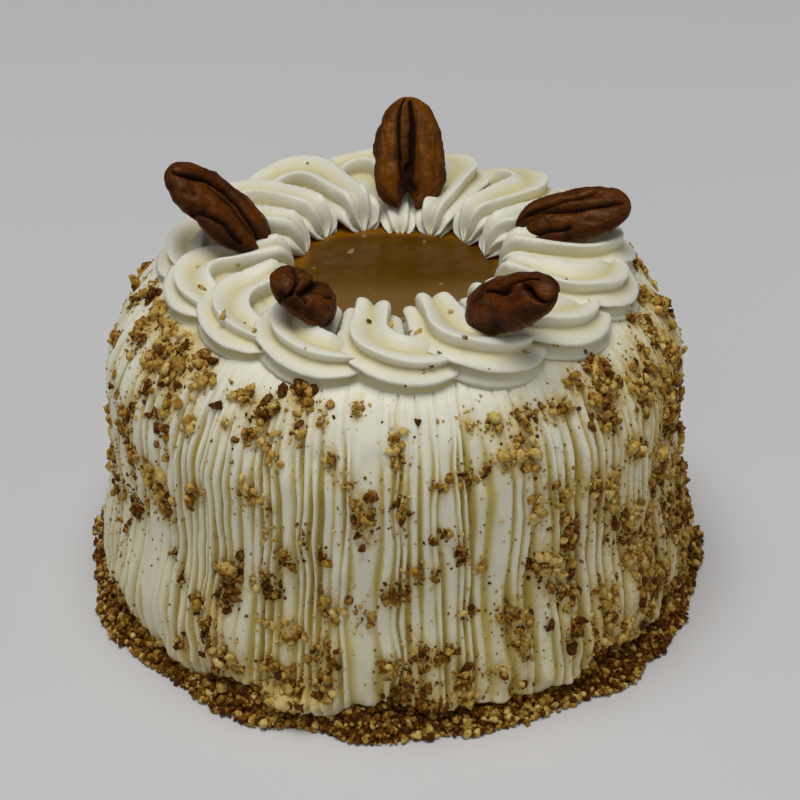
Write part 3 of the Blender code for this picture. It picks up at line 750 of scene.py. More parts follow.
# Points of a swirl at shares of its length and of its arch, each 0 to 1.
# The section is an ellipse from foot to foot whose radius falls by groove * valley between
# the crests of the teeth. With d from 0 on a crest to 1 midway to the next, the valley is
# 1 - (1 - d)^p along the rope, which leaves thin crests, and d^q at its start, which leaves
# round knobs. The section is carried straight outwards, then round the pivot, and both
# ends are round.
def swirlPoint(number, share, arch):
    shape = pipedSwirl
    rng = np.random.default_rng(shape["ownSeed"] + number)
    own = rng.uniform(-1.0, 1.0, len(shape["own"])) * shape["own"]
    bearing = math.radians(shape["firstBearing"] + number * 360.0 / shape["count"])
    arm = armLength(bearing) + own[0]
    hook = math.radians(shape["hook"] + own[1])
    length = arm + hook * shape["hookRadius"]
    far = share * length
    along = np.clip(far / arm, 0.0, 1.0)
    turn = np.clip((far - arm) / (length - arm), 0.0, 1.0)
    stage = along + turn
    inner, outer, rises, waist = (
        sum(np.interp(stage + aside, shape["stages"], shape[key]) for aside in shape["blend"])
        / len(shape["blend"]) for key in ("inner", "outer", "heights", "waists"))
    angle = (2.0 * arch - 1.0) * math.radians(shape["foot"])
    lean = np.degrees(angle) - own[2] - wobble("sway", number, share, arch)
    tooth, d = toothAt(lean, stage)
    knob = shape["knobLeast"] + (1.0 - shape["knobLeast"]) * smoothStep(along, *shape["knobEnds"])
    away = smoothStep(math.sin(bearing), *shape["farSide"])     # 1 on the far side of the pool
    valley = ((1.0 - knob) * (1.0 - (1.0 - d) ** shape["sharpness"])
              + knob * d ** (shape["knob"] * (1.0 - shape["farKnob"] * away)))
    start = shape["finger"] * (1.0 + shape["farFinger"] * away) * valley
    rise = np.minimum((far - start) / shape["blunt"], (length - far) / shape["tail"])
    rise = np.clip(rise, 0.0, 1.0)
    taper = np.sqrt(1.0 - (1.0 - rise) ** 2)
    least, farther, full = shape["endGroove"]
    cap = least + farther * away
    cap = cap + (1.0 - least - farther * away) * smoothStep(rise, 0.0, full)
    nose = away * smoothStep(along, *shape["nose"])
    ragged = valueNoise(share * shape["raggedSteps"], tooth * 3.3 + 40.0, shape["raggedSeed"] + number)
    depth = (1.0 - shape["groove"] * valley * cap + wobble("lumpy", number, share, arch)
             + shape["ragged"] * (1.0 - valley) ** 3 * taper * ragged)
    scale = 1.0 + wobble("uneven", number, share, arch) + own[3]
    half = 0.5 * (outer - inner) * scale * taper ** (1.0 - shape["noseWide"] * nose) * depth
    across = 0.5 * (outer + inner) + half * np.sin(angle)
    low = (1.0 - shape["pressed"].get(number, 1.0)) * smoothStep(stage, *shape["pressedEnds"])
    up = shape["height"] * scale * rises * taper ** (1.0 - shape["noseHigh"] * nose) * (1.0 - low)
    up = np.maximum(up * (waist + (1.0 - waist) * np.cos(angle) * depth), 0.0)
    points = ringPlace(bearing, np.maximum(arm - far, 0.0) - across * np.sin(turn * hook),
                       shape["pivot"] + own[4] + across * np.cos(turn * hook))
    points[..., 2] = topSurface(np.hypot(points[..., 0], points[..., 1])) - shape["sunk"] + up
    # painted shade, darker down in the valleys between teeth and near the swirl's foot
    groove = (shape["shade"] * valley * (1.0 - shape["nosePale"] * nose)
              + shape["footShade"] * smoothStep(up, shape["footShadeUp"], 0.0))
    return points, np.clip(groove, 0.0, 1.0)


def makeSwirls():
    shape = pipedSwirl
    share = np.linspace(*shape["ends"], shape["steps"])[:, None]
    arch = np.linspace(0.0, 1.0, shape["across"])[None, :]
    back = np.linspace(0.85, 0.15, shape["under"])[None, :, None]
    for number in range(shape["count"]):
        over, groove = swirlPoint(number, share, arch)
        under = over[:, :1] + (over[:, -1:] - over[:, :1]) * back
        # the under side, which is hidden, takes full painted shade
        groove = np.concatenate([groove, np.ones(under.shape[:2])], axis=1)
        grid = np.concatenate([over, under], axis=1)
        makeSkin(f"pipedSwirl{number + 1:02d}", grid, pipedMaterial,
                 {"groove": (groove, (0.0, 1.0))}, "cream", f"swirl_{number + 1:02d}")


makeSwirls()
print("piped swirls: done")

# Set caramel: its colours all over, in milky clouds, towards the front, in pale flecks and
# where it thins at the rim, then its gloss and its mesh.
caramelLook = {
    "colour": (0.088, 0.033, 0.0008), "milky": ((0.125, 0.058, 0.004), 0.35, 0.75, 0.1, 0.8),
    "front": ((0.22, 0.125, 0.035), -0.003, -0.020, 0.0, 0.80),
    "flecks": ((0.42, 0.30, 0.16), 0.70, 0.80, 0.0, 0.7), "amber": (0.22, 0.080, 0.001),
    "cloudNoise": (60.0, 3.0), "fleckNoise": (190.0, 1.0), "bumpHeight": 0.0003,
    "roughness": (0.3, 0.8, 0.24, 0.38),
    "fixed": {"Specular IOR Level": 0.14, "Coat Weight": 0.06, "Coat Roughness": 0.12, "IOR": 1.46,
              "Specular Tint": (1.0, 0.75, 0.40, 1.0)},
    "rings": 44, "columns": 180, "ripple": 0.00018, "rippleScale": 0.009, "meniscus": 0.0009,
    "tongue": 0.0085, "tongueBearing": 5.5, "tongueFront": (0.2, 0.8), "seed": 5,
    # from the swirls' starts: where the caramel meets them, climbs them and is amber
    "inside": 0.001, "climb": (-0.005, 0.002), "amberFrom": (-0.0006, 0.0022), "lip": 0.97,
}


# Brown and glossy, milkier in clouds, lighter towards the front and amber at the rim.
def caramelFinish():
    look = caramelLook
    finish = Finish("setCaramel", look["fixed"])
    places = finish.places()
    clouds = finish.noise(places, *look["cloudNoise"])
    flecks = finish.noise(places, *look["fleckNoise"])
    colour = finish.tint(look["colour"], clouds, look["milky"])
    colour = finish.tint(colour, finish.axis(places, "Y"), look["front"])
    colour = finish.tint(colour, flecks, look["flecks"])
    colour = finish.mix(finish.attribute("rim"), colour, look["amber"])
    return finish.feed(Base_Color=colour, Normal=finish.bump(flecks, look["bumpHeight"]),
                       Roughness=finish.spread(clouds, *look["roughness"]))


# The pool: a disc whose top ripples by value noise. Thin tongues of it seep out between the
# swirls at the front, where it is only a film on the cream.
def makeCaramel():
    look, form = caramelLook, cakeForm
    angle = np.arange(look["columns"]) / look["columns"] * math.tau
    top = form["height"] - form["gap"]
    first = math.radians(pipedSwirl["firstBearing"] + look["tongueBearing"])
    between = 0.5 + 0.5 * np.cos((angle - first) * pipedSwirl["count"])
    front = smoothStep(-np.sin(angle), *look["tongueFront"])
    reach = form["poolRadius"] + look["tongue"] * front * between ** 3
    share = np.concatenate([[0.93, 1.0], np.linspace(1.0, 0.02, look["rings"])[1:]])[:, None]
    radius = reach * share
    radius[0] = form["poolRadius"] - form["gap"]
    x, y = (radius * f(angle) / look["rippleScale"] for f in (np.cos, np.sin))
    ripple = valueNoise(x, y, look["seed"]) + 0.4 * valueNoise(3 * x, 3 * y, look["seed"] + 1)
    edge = pipedSwirl["ringRadius"] - armLength(angle) - look["inside"]
    low, high = look["climb"]
    climb = look["meniscus"] * smoothStep(radius, edge + low, edge + high)
    z = top + look["ripple"] * ripple + climb * smoothStep(share, 1.0, look["lip"])
    z[0] = form["height"] - form["poolDepth"] - form["gap"]
    z[1] = top
    low, high = look["amberFrom"]
    rim = smoothStep(radius, edge + low, edge + high)
    middle = (form["ringX"], form["ringY"])
    ends = [(*middle, z[0, 0]), (*middle, z[-1, 0])]
    makeSkin("caramelPool", ringPoints(angle, radius, z, middle), caramelFinish(),
             {"rim": (rim, (1.0, 0.0))}, "caramel", "caramel_pool", ends)


makeCaramel()
print("caramel: done")

# Pecan halves: bearing and radius of the foot from the middle of the ring, its height over
# the top, heading, lean, roll, length, width and thickness. On the domed side x runs from
# -1 to 1 across and s from -1 at the foot to 1 at the tip. A groove is the (s, x) places it
# runs through, then its half width and its depth.
pecanHalves = {
    "places": (
        ("back", 83.2, 0.0272, 0.0058, 88.5, 48.5, -4.0, 0.0355, 0.0213, 0.0112),
        ("left", 184.0, 0.0387, 0.0082, 166.0, 38.5, 12.0, 0.0368, 0.02, 0.0112),
        ("front_left", 246.5, 0.0474, 0.0083, 194.0, 38.0, 15.0, 0.0215, 0.0172, 0.0121),
        ("front_right", 293.3, 0.0485, 0.0082, 317.0, 30.0, -38.0, 0.0348, 0.0166, 0.0143),
        ("right", 9.0, 0.0348, 0.0094, 355.0, 15.0, -14.5, 0.0344, 0.0204, 0.0112),
    ),
    "grooves": {
        "back": ((((0.9, 0.36), (0.6, 0.4), (0.2, 0.34), (-0.3, 0.25), (-0.7, 0.12)), 0.07, 0.36),
                 (((0.88, -0.02), (0.6, -0.05), (0.1, -0.08), (-0.4, -0.04)), 0.1, 0.5),
                 (((-0.3, 0.04), (-0.8, 0.05)), 0.21, 0.55),
                 (((-0.72, 0.05), (-1.1, 0.06)), 0.34, 0.5),
                 (((0.8, 0.18), (-1.2, 0.08)), 0.26, 0.2),
                 (((0.3, 0.78), (-0.1, 0.66), (-0.35, 0.74)), 0.05, 0.14),
                 (((0.1, -0.62), (-0.15, -0.8)), 0.05, 0.16),
                 (((-0.35, -0.6), (-0.6, -0.78)), 0.05, 0.16)),
        "left": ((((0.9, 0.44), (0.44, -0.14), (0.02, -0.28), (-0.46, -0.02), (-1.0, 0.25)), 0.09, 0.55),
                 (((0.3, 0.06), (-0.05, 0.04), (-0.5, 0.3), (-0.9, 0.45)), 0.06, 0.3),
                 (((0.24, 0.95), (0.08, 0.74), (-0.2, 0.68), (-0.6, 0.84)), 0.09, 0.55),
                 (((0.34, 1.15), (0.24, 0.92), (0.12, 0.76)), 0.1, 0.95),
                 (((0.6, 0.8), (0.4, 0.6)), 0.06, 0.18)),
        "front_left": ((((0.7, 1.1), (0.48, 0.5), (0.46, 0.0), (0.52, -0.3)), 0.1, 0.75),
                       (((0.32, 0.52), (0.08, 0.16), (-0.18, -0.38), (-0.3, -1.1)), 0.17, 0.6),
                       (((0.32, 0.52), (0.14, 0.74)), 0.1, 0.45),
                       (((-0.3, 0.3), (-0.6, 0.1)), 0.08, 0.3)),
        "front_right": ((((0.22, -0.04), (0.08, 0.0)), 0.15, 0.6),
                        (((-0.28, 0.1), (-0.06, 0.08), (0.52, 0.32), (0.74, 0.46)), 0.055, 0.35),
                        (((0.5, 0.1), (0.64, -0.1), (0.8, -0.55), (0.94, -1.05)), 0.08, 0.6),
                        (((-0.4, -0.3), (0.0, -0.5)), 0.07, 0.15),
                        (((-0.6, -0.1), (-0.35, -0.02)), 0.06, 0.25)),
        "right": ((((-1.0, 0.16), (-0.82, 0.22), (-0.28, 0.18), (0.22, 0.21), (0.42, 0.32)), 0.065, 0.45),
                  (((-0.9, 0.16), (-0.45, 0.0), (-0.16, -0.17), (0.38, -0.27), (0.86, -0.22)), 0.09, 0.6),
                  (((-0.82, -0.88), (-0.36, -0.75), (-0.06, -0.78)), 0.1, 0.55),
                  (((0.3, -0.7), (0.5, -0.86)), 0.07, 0.2)),
    },
    # the cleft at the foot: its x and how far it reaches up
    "clefts": {"back": (0.04, 0.0056), "left": (0.2, 0.0045), "front_left": (0.0, 0.0),
               "front_right": (-0.1, 0.0012), "right": (-0.2, 0.0034)},
    # how much wider the foot is than the tip
    "egg": {"back": 0.13, "left": 0.02, "front_left": 0.0, "front_right": 0.03, "right": -0.02},
    # its brown on the crests, in linear light
    "browns": {"back": (0.180, 0.054, 0.0006), "left": (0.120, 0.030, 0.0015),
               "front_left": (0.125, 0.030, 0.0012), "front_right": (0.120, 0.027, 0.0012),
               "right": (0.125, 0.032, 0.0012)},
    "dark": (0.45, 0.38, 0.45), "vein": 0.35,               # shares of the brown in blotches, veins
    # the dark of the furrows, partly darker skin and partly painted shade; pale flecks, partly dust and
    # partly painted highlights
    "furrow": ((0.010, 0.002, 0.001), 0.10, 0.80), "dustAndSheen": (0.24, 0.12, 0.04),
    "blotchNoise": (130.0, 3.0), "fineNoise": (700.0, 3.0, 0.6), "dustAndSheenNoise": (300.0, 5.0, 0.7),
    "blotchFrom": (0.36, 0.66), "veinFrom": (0.40, 0.60), "dustAndSheenFrom": (0.64, 0.74, 0.0, 0.5),
    "streaky": 0.14, "veined": 0.30, "roughness": (0.3, 0.7, 0.34, 0.50), "furrowRoughness": 0.45,
    "fineBump": 0.4, "bumpHeight": 0.00035,
    "fixed": {"Specular IOR Level": 0.22, "Specular Tint": (1.0, 0.70, 0.45, 1.0)},
    "cleftWidth": 0.23, "tipBluntness": 2.4, "footBluntness": 3.3, "fullness": 2.1,
    "under": 0.55, "hollow": 0.4, "hollowWidth": 0.35, "bluntness": (0.85, 0.7),
    "domeShare": 0.68, "longer": 1.75, "soft": 1.3, "ends": 0.985,
    # darkness painted into the colour: grooves and rim partly darker skin and partly painted shade, fold
    # hollows painted shade
    "grooveDark": (0.05, 0.45), "underDark": 0.4, "rimDark": (0.45, 0.55), "foldShade": 0.25,
    "rimFrom": 0.70, "drawnIn": 0.36, "drawnFlat": 0.4, "mostSunk": 0.85, "edge": 0.05,
    "wavyBy": (0.02, 0.03),                 # how far noise bends the grooves in s and in x
    # noise: its steps along and across
    "wavySteps": (5.0, 2.0), "foldSteps": (4.5, 2.2), "fineSteps": (11.0, 8.0),
    "finerSteps": (24.0, 17.0), "finer": 0.6, "edgeSteps": 8.0, "grainSteps": (2.5, 15.0),
    "rows": 160, "columns": 170, "wrinkle": 0.00014, "dent": 0.00028, "seed": 70,
}


# Pecan brown: near black down in its furrows, partly its darker skin there and partly painted
# shade, darker towards its rim in the same two ways, and painted shade in the hollows of its
# folds; satin, with a few thin pale flecks, partly dusty scuffs and partly painted highlights.
def pecanFinish(name, brown):
    look = pecanHalves
    finish = Finish(name, look["fixed"])
    places = finish.places()
    blotch = finish.noise(places, *look["blotchNoise"])
    fine = finish.noise(places, *look["fineNoise"])
    dark = tuple(share * c for share, c in zip(look["dark"], brown))
    streak = finish.attribute("grain") * look["streaky"]
    colour = finish.mix(finish.spread(blotch + streak, *look["blotchFrom"]), brown, dark)
    furrow, *deepFrom = look["furrow"]
    deep = finish.spread(finish.attribute("furrow"), *deepFrom)
    vein = finish.spread(fine, *look["veinFrom"])
    colour = finish.mix(vein * look["veined"], colour, tuple(look["vein"] * c for c in brown))
    colour = finish.mix(deep, colour, furrow)
    # pale flecks away from the furrows: partly dusty scuffs, partly painted highlights on the crests
    dustAndSheen = finish.noise(places, *look["dustAndSheenNoise"])
    dustAndSheen = finish.spread(dustAndSheen, *look["dustAndSheenFrom"])
    colour = finish.mix(dustAndSheen * (1.0 - deep), colour, look["dustAndSheen"])
    roughness = finish.spread(blotch, *look["roughness"]) + look["furrowRoughness"] * deep
    height = fine * look["fineBump"] + blotch * (1.0 - look["fineBump"])
    normal = finish.bump(height, look["bumpHeight"])
    return finish.feed(Base_Color=colour, Roughness=roughness, Normal=normal)


# How near places on the dome are to a groove's line: exp(-(t / w)^1.3) by the distance t.
# A half is longer than it is wide, so a step of s covers more than one of x.
def besideGroove(s, x, places, width):
    longer, nearest = pecanHalves["longer"], 9.0
    for (s0, x0), (s1, x1) in zip(places, places[1:]):
        ds, dx = longer * (s1 - s0), x1 - x0
        up, across = longer * (s - s0), x - x0
        share = np.clip((up * ds + across * dx) / (ds * ds + dx * dx), 0.0, 1.0)
        nearest = np.minimum(nearest, np.hypot(up - share * ds, across - share * dx))
    return np.exp(-(nearest / width) ** pecanHalves["soft"])


# How far the grooves of a half sink its dome, and how dark they are painted: partly the darker
# skin in a furrow and partly painted shade.
def grooveSink(name, s, x):
    sink, dark = 0.0, 0.0
    for line, width, depth in pecanHalves["grooves"][name]:
        near = besideGroove(s, x, line, width)
        sink = sink + depth * near
        dark = np.maximum(dark, near * smoothStep(depth, *pecanHalves["grooveDark"]))
    return sink, dark


# The directions of a half's length, width and domed face.
def pecanAxes(heading, lean, roll):
    flat, up = ringPoints(heading, 1.0, 0.0), np.array([0.0, 0.0, 1.0])
    along = flat * math.cos(lean) + up * math.sin(lean)
    face = up * math.cos(lean) - flat * math.sin(lean)
    across = np.cross(face, along)
    return (along, across * math.cos(roll) - face * math.sin(roll),
            face * math.cos(roll) + across * math.sin(roll))


# One pecan half. Its section is a dome over a flatter, hollowed under side, scaled along its
# length by (1 - |s|^a)^(1/b). A groove sinks the dome by its depth, and where it crosses the
# rim it draws the outline in.
def makePecan(row, number):
    shape, form = pecanHalves, cakeForm
    name, bearing, radius, height, heading, lean, roll, length, wide, thick = row
    bearing, heading, lean, roll = (math.radians(a) for a in (bearing, heading, lean, roll))
    along, across, face = pecanAxes(heading, lean, roll)
    foot = ringPoints(bearing, radius, form["height"] + height, (form["ringX"], form["ringY"]))
    turn = np.arange(shape["columns"]) / shape["columns"]
    turn = np.interp(turn, (0.0, shape["domeShare"], 1.0), (0.0, math.pi, math.tau))[None, :]
    s = np.linspace(-shape["ends"], shape["ends"], shape["rows"])[:, None]
    s = np.sin(math.pi / 2 * s)
    x, dome = np.cos(turn), np.sin(turn)
    top = dome > 0
    under = shape["under"] * (1.0 - shape["hollow"] * bell(x, shape["hollowWidth"]))
    domed, flatter = shape["bluntness"]
    y = np.where(top, np.abs(dome) ** domed, -under * np.abs(dome) ** flatter)
    seed = shape["seed"] + 5 * number
    up, over = shape["wavySteps"]
    wavy = valueNoise(s * up + 9.0, over * x, seed)
    moved, aside = shape["wavyBy"]
    sink, dark = grooveSink(name, s + moved * wavy, x + aside * wavy)
    draw = np.clip(sink, 0.0, 1.0) * smoothStep(np.abs(x), shape["rimFrom"], 1.0)
    sink, dark = sink * top, dark * np.where(top, 1.0, shape["underDark"])
    blunt = np.where(s < 0, shape["footBluntness"], shape["tipBluntness"])
    plump = (1.0 - np.abs(s) ** blunt) ** (1.0 / shape["fullness"])
    up, over = shape["foldSteps"]
    folds = valueNoise(s * up + 1.5 * np.abs(x), over * x + 4.0, seed + 1)
    up, over = shape["fineSteps"]
    fine = valueNoise(s * up, over * x + 20.0, seed + 2)
    up, over = shape["finerSteps"]
    fine = fine + shape["finer"] * valueNoise(s * up, over * x + 20.0, seed + 4)
    edge = valueNoise(s * shape["edgeSteps"] + 9.0 * np.sign(x), 0.0 * x, seed + 3)
    cleftX, cleftDepth = shape["clefts"][name]
    cleft = np.maximum(0.0, 1.0 - ((x * plump - cleftX) / shape["cleftWidth"]) ** 2) ** 0.8
    cleft = cleftDepth * np.maximum(0.0, -s) ** 3 * cleft
    up, over = shape["grainSteps"]
    grain = valueNoise(up * s, over * x + 0.6 * wavy, seed + 6)
    # towards the rim of the dome it is darker: partly its darker skin and partly painted shade
    rimDark, rimFrom = shape["rimDark"]
    dark = np.maximum(dark, rimDark * top * smoothStep(np.abs(x), rimFrom, 1.0))
    x = x * plump * (1.0 + shape["edge"] * edge * x ** 4) * (1.0 - shape["drawnIn"] * draw)
    x = x * (1.0 - shape["egg"][name] * s)
    y = y * plump * (1.0 - np.clip(sink, 0.0, shape["mostSunk"])) * (1.0 - shape["drawnFlat"] * draw)
    bulge = (shape["dent"] * folds + shape["wrinkle"] * fine) / (np.hypot(x, y) + 1e-6)
    x, y = x * (wide / 2 + bulge), y * (thick / 2 + bulge)
    grid = (foot + along * ((s + 1.0) * length / 2 + cleft)[..., None]
            + across * x[..., None] + face * y[..., None])
    # how dark the colour is painted: furrows (darker skin and painted shade), the rim, and painted shade
    # in fold hollows
    furrow = np.clip(dark + shape["foldShade"] * np.maximum(-folds, 0.0), 0.0, 1.0)
    values = {"furrow": (furrow, (0.5, 0.5)), "grain": (grain, (0.0, 0.0))}
    makeSkin(f"pecanHalf.{name}", grid, pecanFinish(f"pecanBrown.{name}", shape["browns"][name]),
             values, "pecan", f"pecan_{name}")


for number, row in enumerate(pecanHalves["places"]):
    makePecan(row, number)
print("pecan halves: done")


# A ball of twenty triangles, made rounder by splitting each into four, times over.
def roundLump(splits):
    golden = (1.0 + math.sqrt(5.0)) / 2.0
    corners = np.array([p for a, b in itertools.product((-1, 1), (-golden, golden))
                        for p in ((0, a, b), (a, b, 0), (b, 0, a))])
    near = np.linalg.norm(corners[:, None] - corners[None], axis=-1) < 2.1
    faces = np.array([f for f in itertools.combinations(range(12), 3)
                      if near[f[0], f[1]] and near[f[1], f[2]] and near[f[0], f[2]]])
    a, b, c = (corners[faces[:, k]] for k in range(3))
    inward = np.einsum("ij,ij->i", np.cross(b - a, c - a), a) < 0
    faces[inward] = faces[inward][:, ::-1]
    for _ in range(splits):
        edges = np.concatenate([faces[:, [0, 1]], faces[:, [1, 2]], faces[:, [2, 0]]])
        pairs, place = np.unique(np.sort(edges, axis=1), axis=0, return_inverse=True)
        ab, bc, ca = (place.ravel() + len(corners)).reshape(3, -1)
        corners = np.concatenate([corners, corners[pairs].mean(axis=1)])
        a, b, c = faces.T
        faces = np.concatenate([np.stack(f, axis=-1) for f in
                                ((a, ab, ca), (ab, b, bc), (ca, bc, c), (ab, bc, ca))])
    return corners / np.linalg.norm(corners, axis=1)[:, None], faces


# How chopped pieces are shaped, and their colours from brown skin to golden flesh.
nutLump = {
    "kinds": 24, "uneven": 0.30, "unevenLarge": 0.20,
    "chips": 10, "chipAt": (0.30, 0.75), "rough": 0.10,     # flat faces of the larger ones
    "least": (0.75, 0.60, 0.6), "most": (1.35, 1.0, 1.2), "lean": 0.55,
    "stops": ((0.0, (0.07, 0.018, 0.002)), (0.22, (0.17, 0.062, 0.006)),
              (0.45, (0.38, 0.205, 0.030)), (0.72, (0.58, 0.39, 0.095)), (1.0, (0.74, 0.57, 0.22))),
    "mottle": 1.6, "mottleNoise": (800.0, 3.0, 0.6), "fineNoise": (1500.0, 2.0, 0.6),
    "bumpHeight": 0.0005,
    "fixed": {"Specular IOR Level": 0.15, "Subsurface Weight": 0.06, "Roughness": 0.55,
              "Subsurface Radius": (1.0, 0.5, 0.2), "Subsurface Scale": 0.001,
              "Specular Tint": (1.0, 0.75, 0.45, 1.0)},
}


# Chopped pecan, coloured by the piece's tone and mottled within a piece.
def nutFinish():
    look = nutLump
    finish = Finish("choppedPecan", look["fixed"])
    places = finish.places()
    mottle = finish.noise(places, *look["mottleNoise"])
    tone = finish.attribute("tone") + look["mottle"] * (mottle - 0.5)
    colour = finish.add("ValToRGB", {"stops": look["stops"]}, {"Fac": tone})
    fine = finish.noise(places, *look["fineNoise"])
    normal = finish.bump(0.5 * fine + 0.5 * mottle, look["bumpHeight"])
    return finish.feed(Base_Color=colour, Normal=normal)


nutMaterial = nutFinish()


# Arrays of directions, each brought to a length of 1.
def unit(directions):
    return directions / np.linalg.norm(directions, axis=-1, keepdims=True)


# Joined mesh of many lumps. Each is one of the uneven kinds, stretched, then turned so that
# its third axis nears the surface's outward direction, and set in to a share of its size.
def scatter(name, places, outward, sizes, tones, seed, splits=0, flat=0.7, sink=0.4):
    shape = nutLump
    rng = np.random.default_rng(seed)
    ball, faces = roundLump(splits)
    kinds, count = shape["kinds"], len(places)
    uneven = shape["unevenLarge" if splits else "uneven"]
    kind = ball[None] * (1.0 + uneven * rng.uniform(-1, 1, (kinds, len(ball), 1)))
    if splits:
        for _ in range(shape["chips"]):     # a plane cuts a corner off
            facing = unit(rng.normal(size=(kinds, 1, 3)))
            over = (kind * facing).sum(-1, keepdims=True) - rng.uniform(*shape["chipAt"])
            kind = kind - np.maximum(over, 0) * facing
        kind = kind * (1.0 + shape["rough"] * rng.normal(size=(kinds, len(ball), 1)))
    own = kind[rng.integers(0, kinds, count)] / 2
    scale = np.array((1.0, 1.0, flat))
    stretch = rng.uniform(scale * shape["least"], scale * shape["most"], (count, 3))
    up = unit(outward + shape["lean"] * rng.normal(size=(count, 3)))
    side = unit(np.cross(up, rng.normal(size=(count, 3))))
    axes = np.stack([side, np.cross(up, side), up], axis=1)
    body = np.einsum("nvk,nkj->nvj", own * stretch[:, None, :] * sizes[:, None, None], axes)
    centre = places + outward * (sizes * stretch[:, 2] * (0.5 - sink))[:, None]
    points = (body + centre[:, None, :]).reshape(-1, 3)
    points[:, 2] = np.maximum(points[:, 2], 0.0)
    allFaces = (faces[None] + (np.arange(count) * len(ball))[:, None, None]).reshape(-1, 3)
    tone = np.repeat(tones, len(ball))
    makePiece(name, points, allFaces, nutMaterial, {"tone": tone}, "chopped_nut")


# The same on the cream, at turns round it and distances up its outline.
def strew(name, turn, along, sizes, tones, seed, lift=0.0, **shape):
    places, outward, _ = creamPoint(turn, along, lift)
    scatter(name, places, outward, sizes, tones, seed, **shape)


# Sizes drawn between two, even in log, or with more small ones where bend is above 1.
def drawSizes(rng, count, ends, bend=1.0):
    low, high = ends
    return low * (high / low) ** rng.uniform(0, 1, count) ** bend


# Bits that fell on the swirls: swirl, share of its length, share of its arch, size in
# millimetres, tone.
swirlBits = {
    "places": (
        (13, 0.70, 0.62, 3.6, 0.78), (13, 0.83, 0.60, 3.2, 0.76), (13, 0.86, 0.76, 2.8, 0.62),
        (13, 0.31, 0.28, 3.0, 1.00), (13, 0.75, 0.49, 1.0, 0.05), (12, 0.80, 0.49, 2.6, 0.58),
        (12, 0.60, 0.50, 2.6, 0.80), (12, 0.35, 0.30, 1.8, 0.60), (14, 0.70, 0.65, 1.2, 0.70),
        (0, 0.28, 0.53, 2.0, 0.08), (0, 0.30, 0.33, 3.6, 1.00), (0, 0.76, 0.71, 2.8, 0.34),
        (0, 0.73, 0.77, 2.4, 0.72), (0, 0.68, 0.82, 1.2, 0.05), (1, 0.37, 0.77, 3.0, 0.62),
        (1, 0.40, 0.81, 2.4, 0.45), (1, 0.35, 0.80, 2.0, 0.70), (1, 0.58, 0.63, 3.0, 0.42),
        (1, 0.52, 0.78, 2.2, 0.50), (1, 0.31, 0.43, 3.2, 1.00), (1, 0.79, 0.74, 2.0, 0.55),
        (1, 0.66, 0.78, 1.1, 0.05), (2, 0.58, 0.90, 2.2, 0.60), (2, 0.84, 0.60, 1.4, 0.40),
        (3, 0.44, 0.61, 1.2, 0.05), (5, 0.50, 0.50, 2.0, 0.50), (7, 0.66, 0.70, 2.4, 0.70),
        (9, 0.60, 0.55, 1.8, 0.60),
    ),
    "sink": 0.42,
}


# Places for pieces in the patches, with a normal spread of a share of each patch's size.
def inPatches(patches, number, share, rng):
    own = patches[np.repeat(np.arange(len(patches)), number)]
    across, up = rng.normal(0, nutSpread["gather"], (2, len(own)))
    across, up = (np.clip(a, -nutSpread["reach"], nutSpread["reach"]) * share for a in (across, up))
    bearing = own[:, 0] + np.degrees(own[:, 2] * across / 1000.0 / cakeForm["radius"])
    return (bearing / 360.0) % 1.0, (own[:, 1] + own[:, 3] * up) / 1000.0, own


# Pieces of all the patches, heaped by lift * exp(-2 r^2) in the middle of each.
def drawNuts():
    spread = nutSpread
    rng = np.random.default_rng(spread["seed"] + 2)
    patches = nutPatches()
    low, high = spread["size"]
    mean = (high - low) / math.log(high / low) * 1000.0
    area = math.pi * patches[:, 2] * patches[:, 3]
    number = np.ceil(spread["packing"] * area * patches[:, 4] / mean ** 2).astype(int)
    turn, along, own = inPatches(patches, number, 1.0, rng)
    sizes = drawSizes(rng, len(own), spread["size"])
    tones = np.clip(own[:, 5] + spread["toneSpread"] * rng.normal(size=len(own)), 0.0, 1.0)
    off = np.hypot(asideFrom(turn, own[:, 0]) / own[:, 2], (1000.0 * along - own[:, 1]) / own[:, 3])
    lift = spread["lift"] * own[:, 4] * np.exp(-2.0 * off ** 2) * rng.uniform(0, 1, len(own))
    keep = (along > spread["ends"][0]) & (along < spread["ends"][1])
    return [values[keep] for values in (turn, along, sizes, tones, lift)]


# Fine crumbs: a halo round every patch, and loose ones that gather in the grooves.
def drawDust():
    spread = nutSpread
    rng = np.random.default_rng(spread["seed"] + 3)
    patches = nutPatches()
    number = np.ceil(spread["halo"] * np.sqrt(patches[:, 2] * patches[:, 3]) * patches[:, 4])
    turn, along, own = inPatches(patches, number.astype(int), spread["haloReach"], rng)
    tones = own[:, 5] + spread["crumbTone"] + spread["crumbToneSpread"] * rng.normal(size=len(own))
    tones = np.clip(tones, 0.0, 1.0)
    sizes = drawSizes(rng, len(own), spread["crumbSize"])
    keep = (along > spread["ends"][0]) & (along < spread["ends"][1])
    halo = [values[keep] for values in (turn, along, sizes, tones)]
    extra = 5 * spread["loose"]
    bearing, up = rng.uniform(0, 360, extra), rng.uniform(*spread["looseUp"], extra)
    bare, wide, barer = spread["bare"]
    clean, cleanWide, cleanUp, cleanHigh = spread["clean"]
    _, groove = creamRelief(bearing / 360.0, up / 1000.0)
    least = spread["dustOnRidges"]
    share = ((1.0 - barer * bell(bearing - bare, wide)) * (least + (1.0 - least) * groove)
             * (1.0 - bell(bearing - clean, cleanWide, up - cleanUp, cleanHigh)))
    keep = np.flatnonzero(rng.uniform(size=extra) < share)[:spread["loose"]]
    sizes = drawSizes(rng, len(keep), spread["dustSize"], spread["dustBend"])
    tones = rng.uniform(*spread["dustTone"], len(keep))
    return halo, (bearing[keep] / 360.0, up[keep] / 1000.0, sizes, tones)


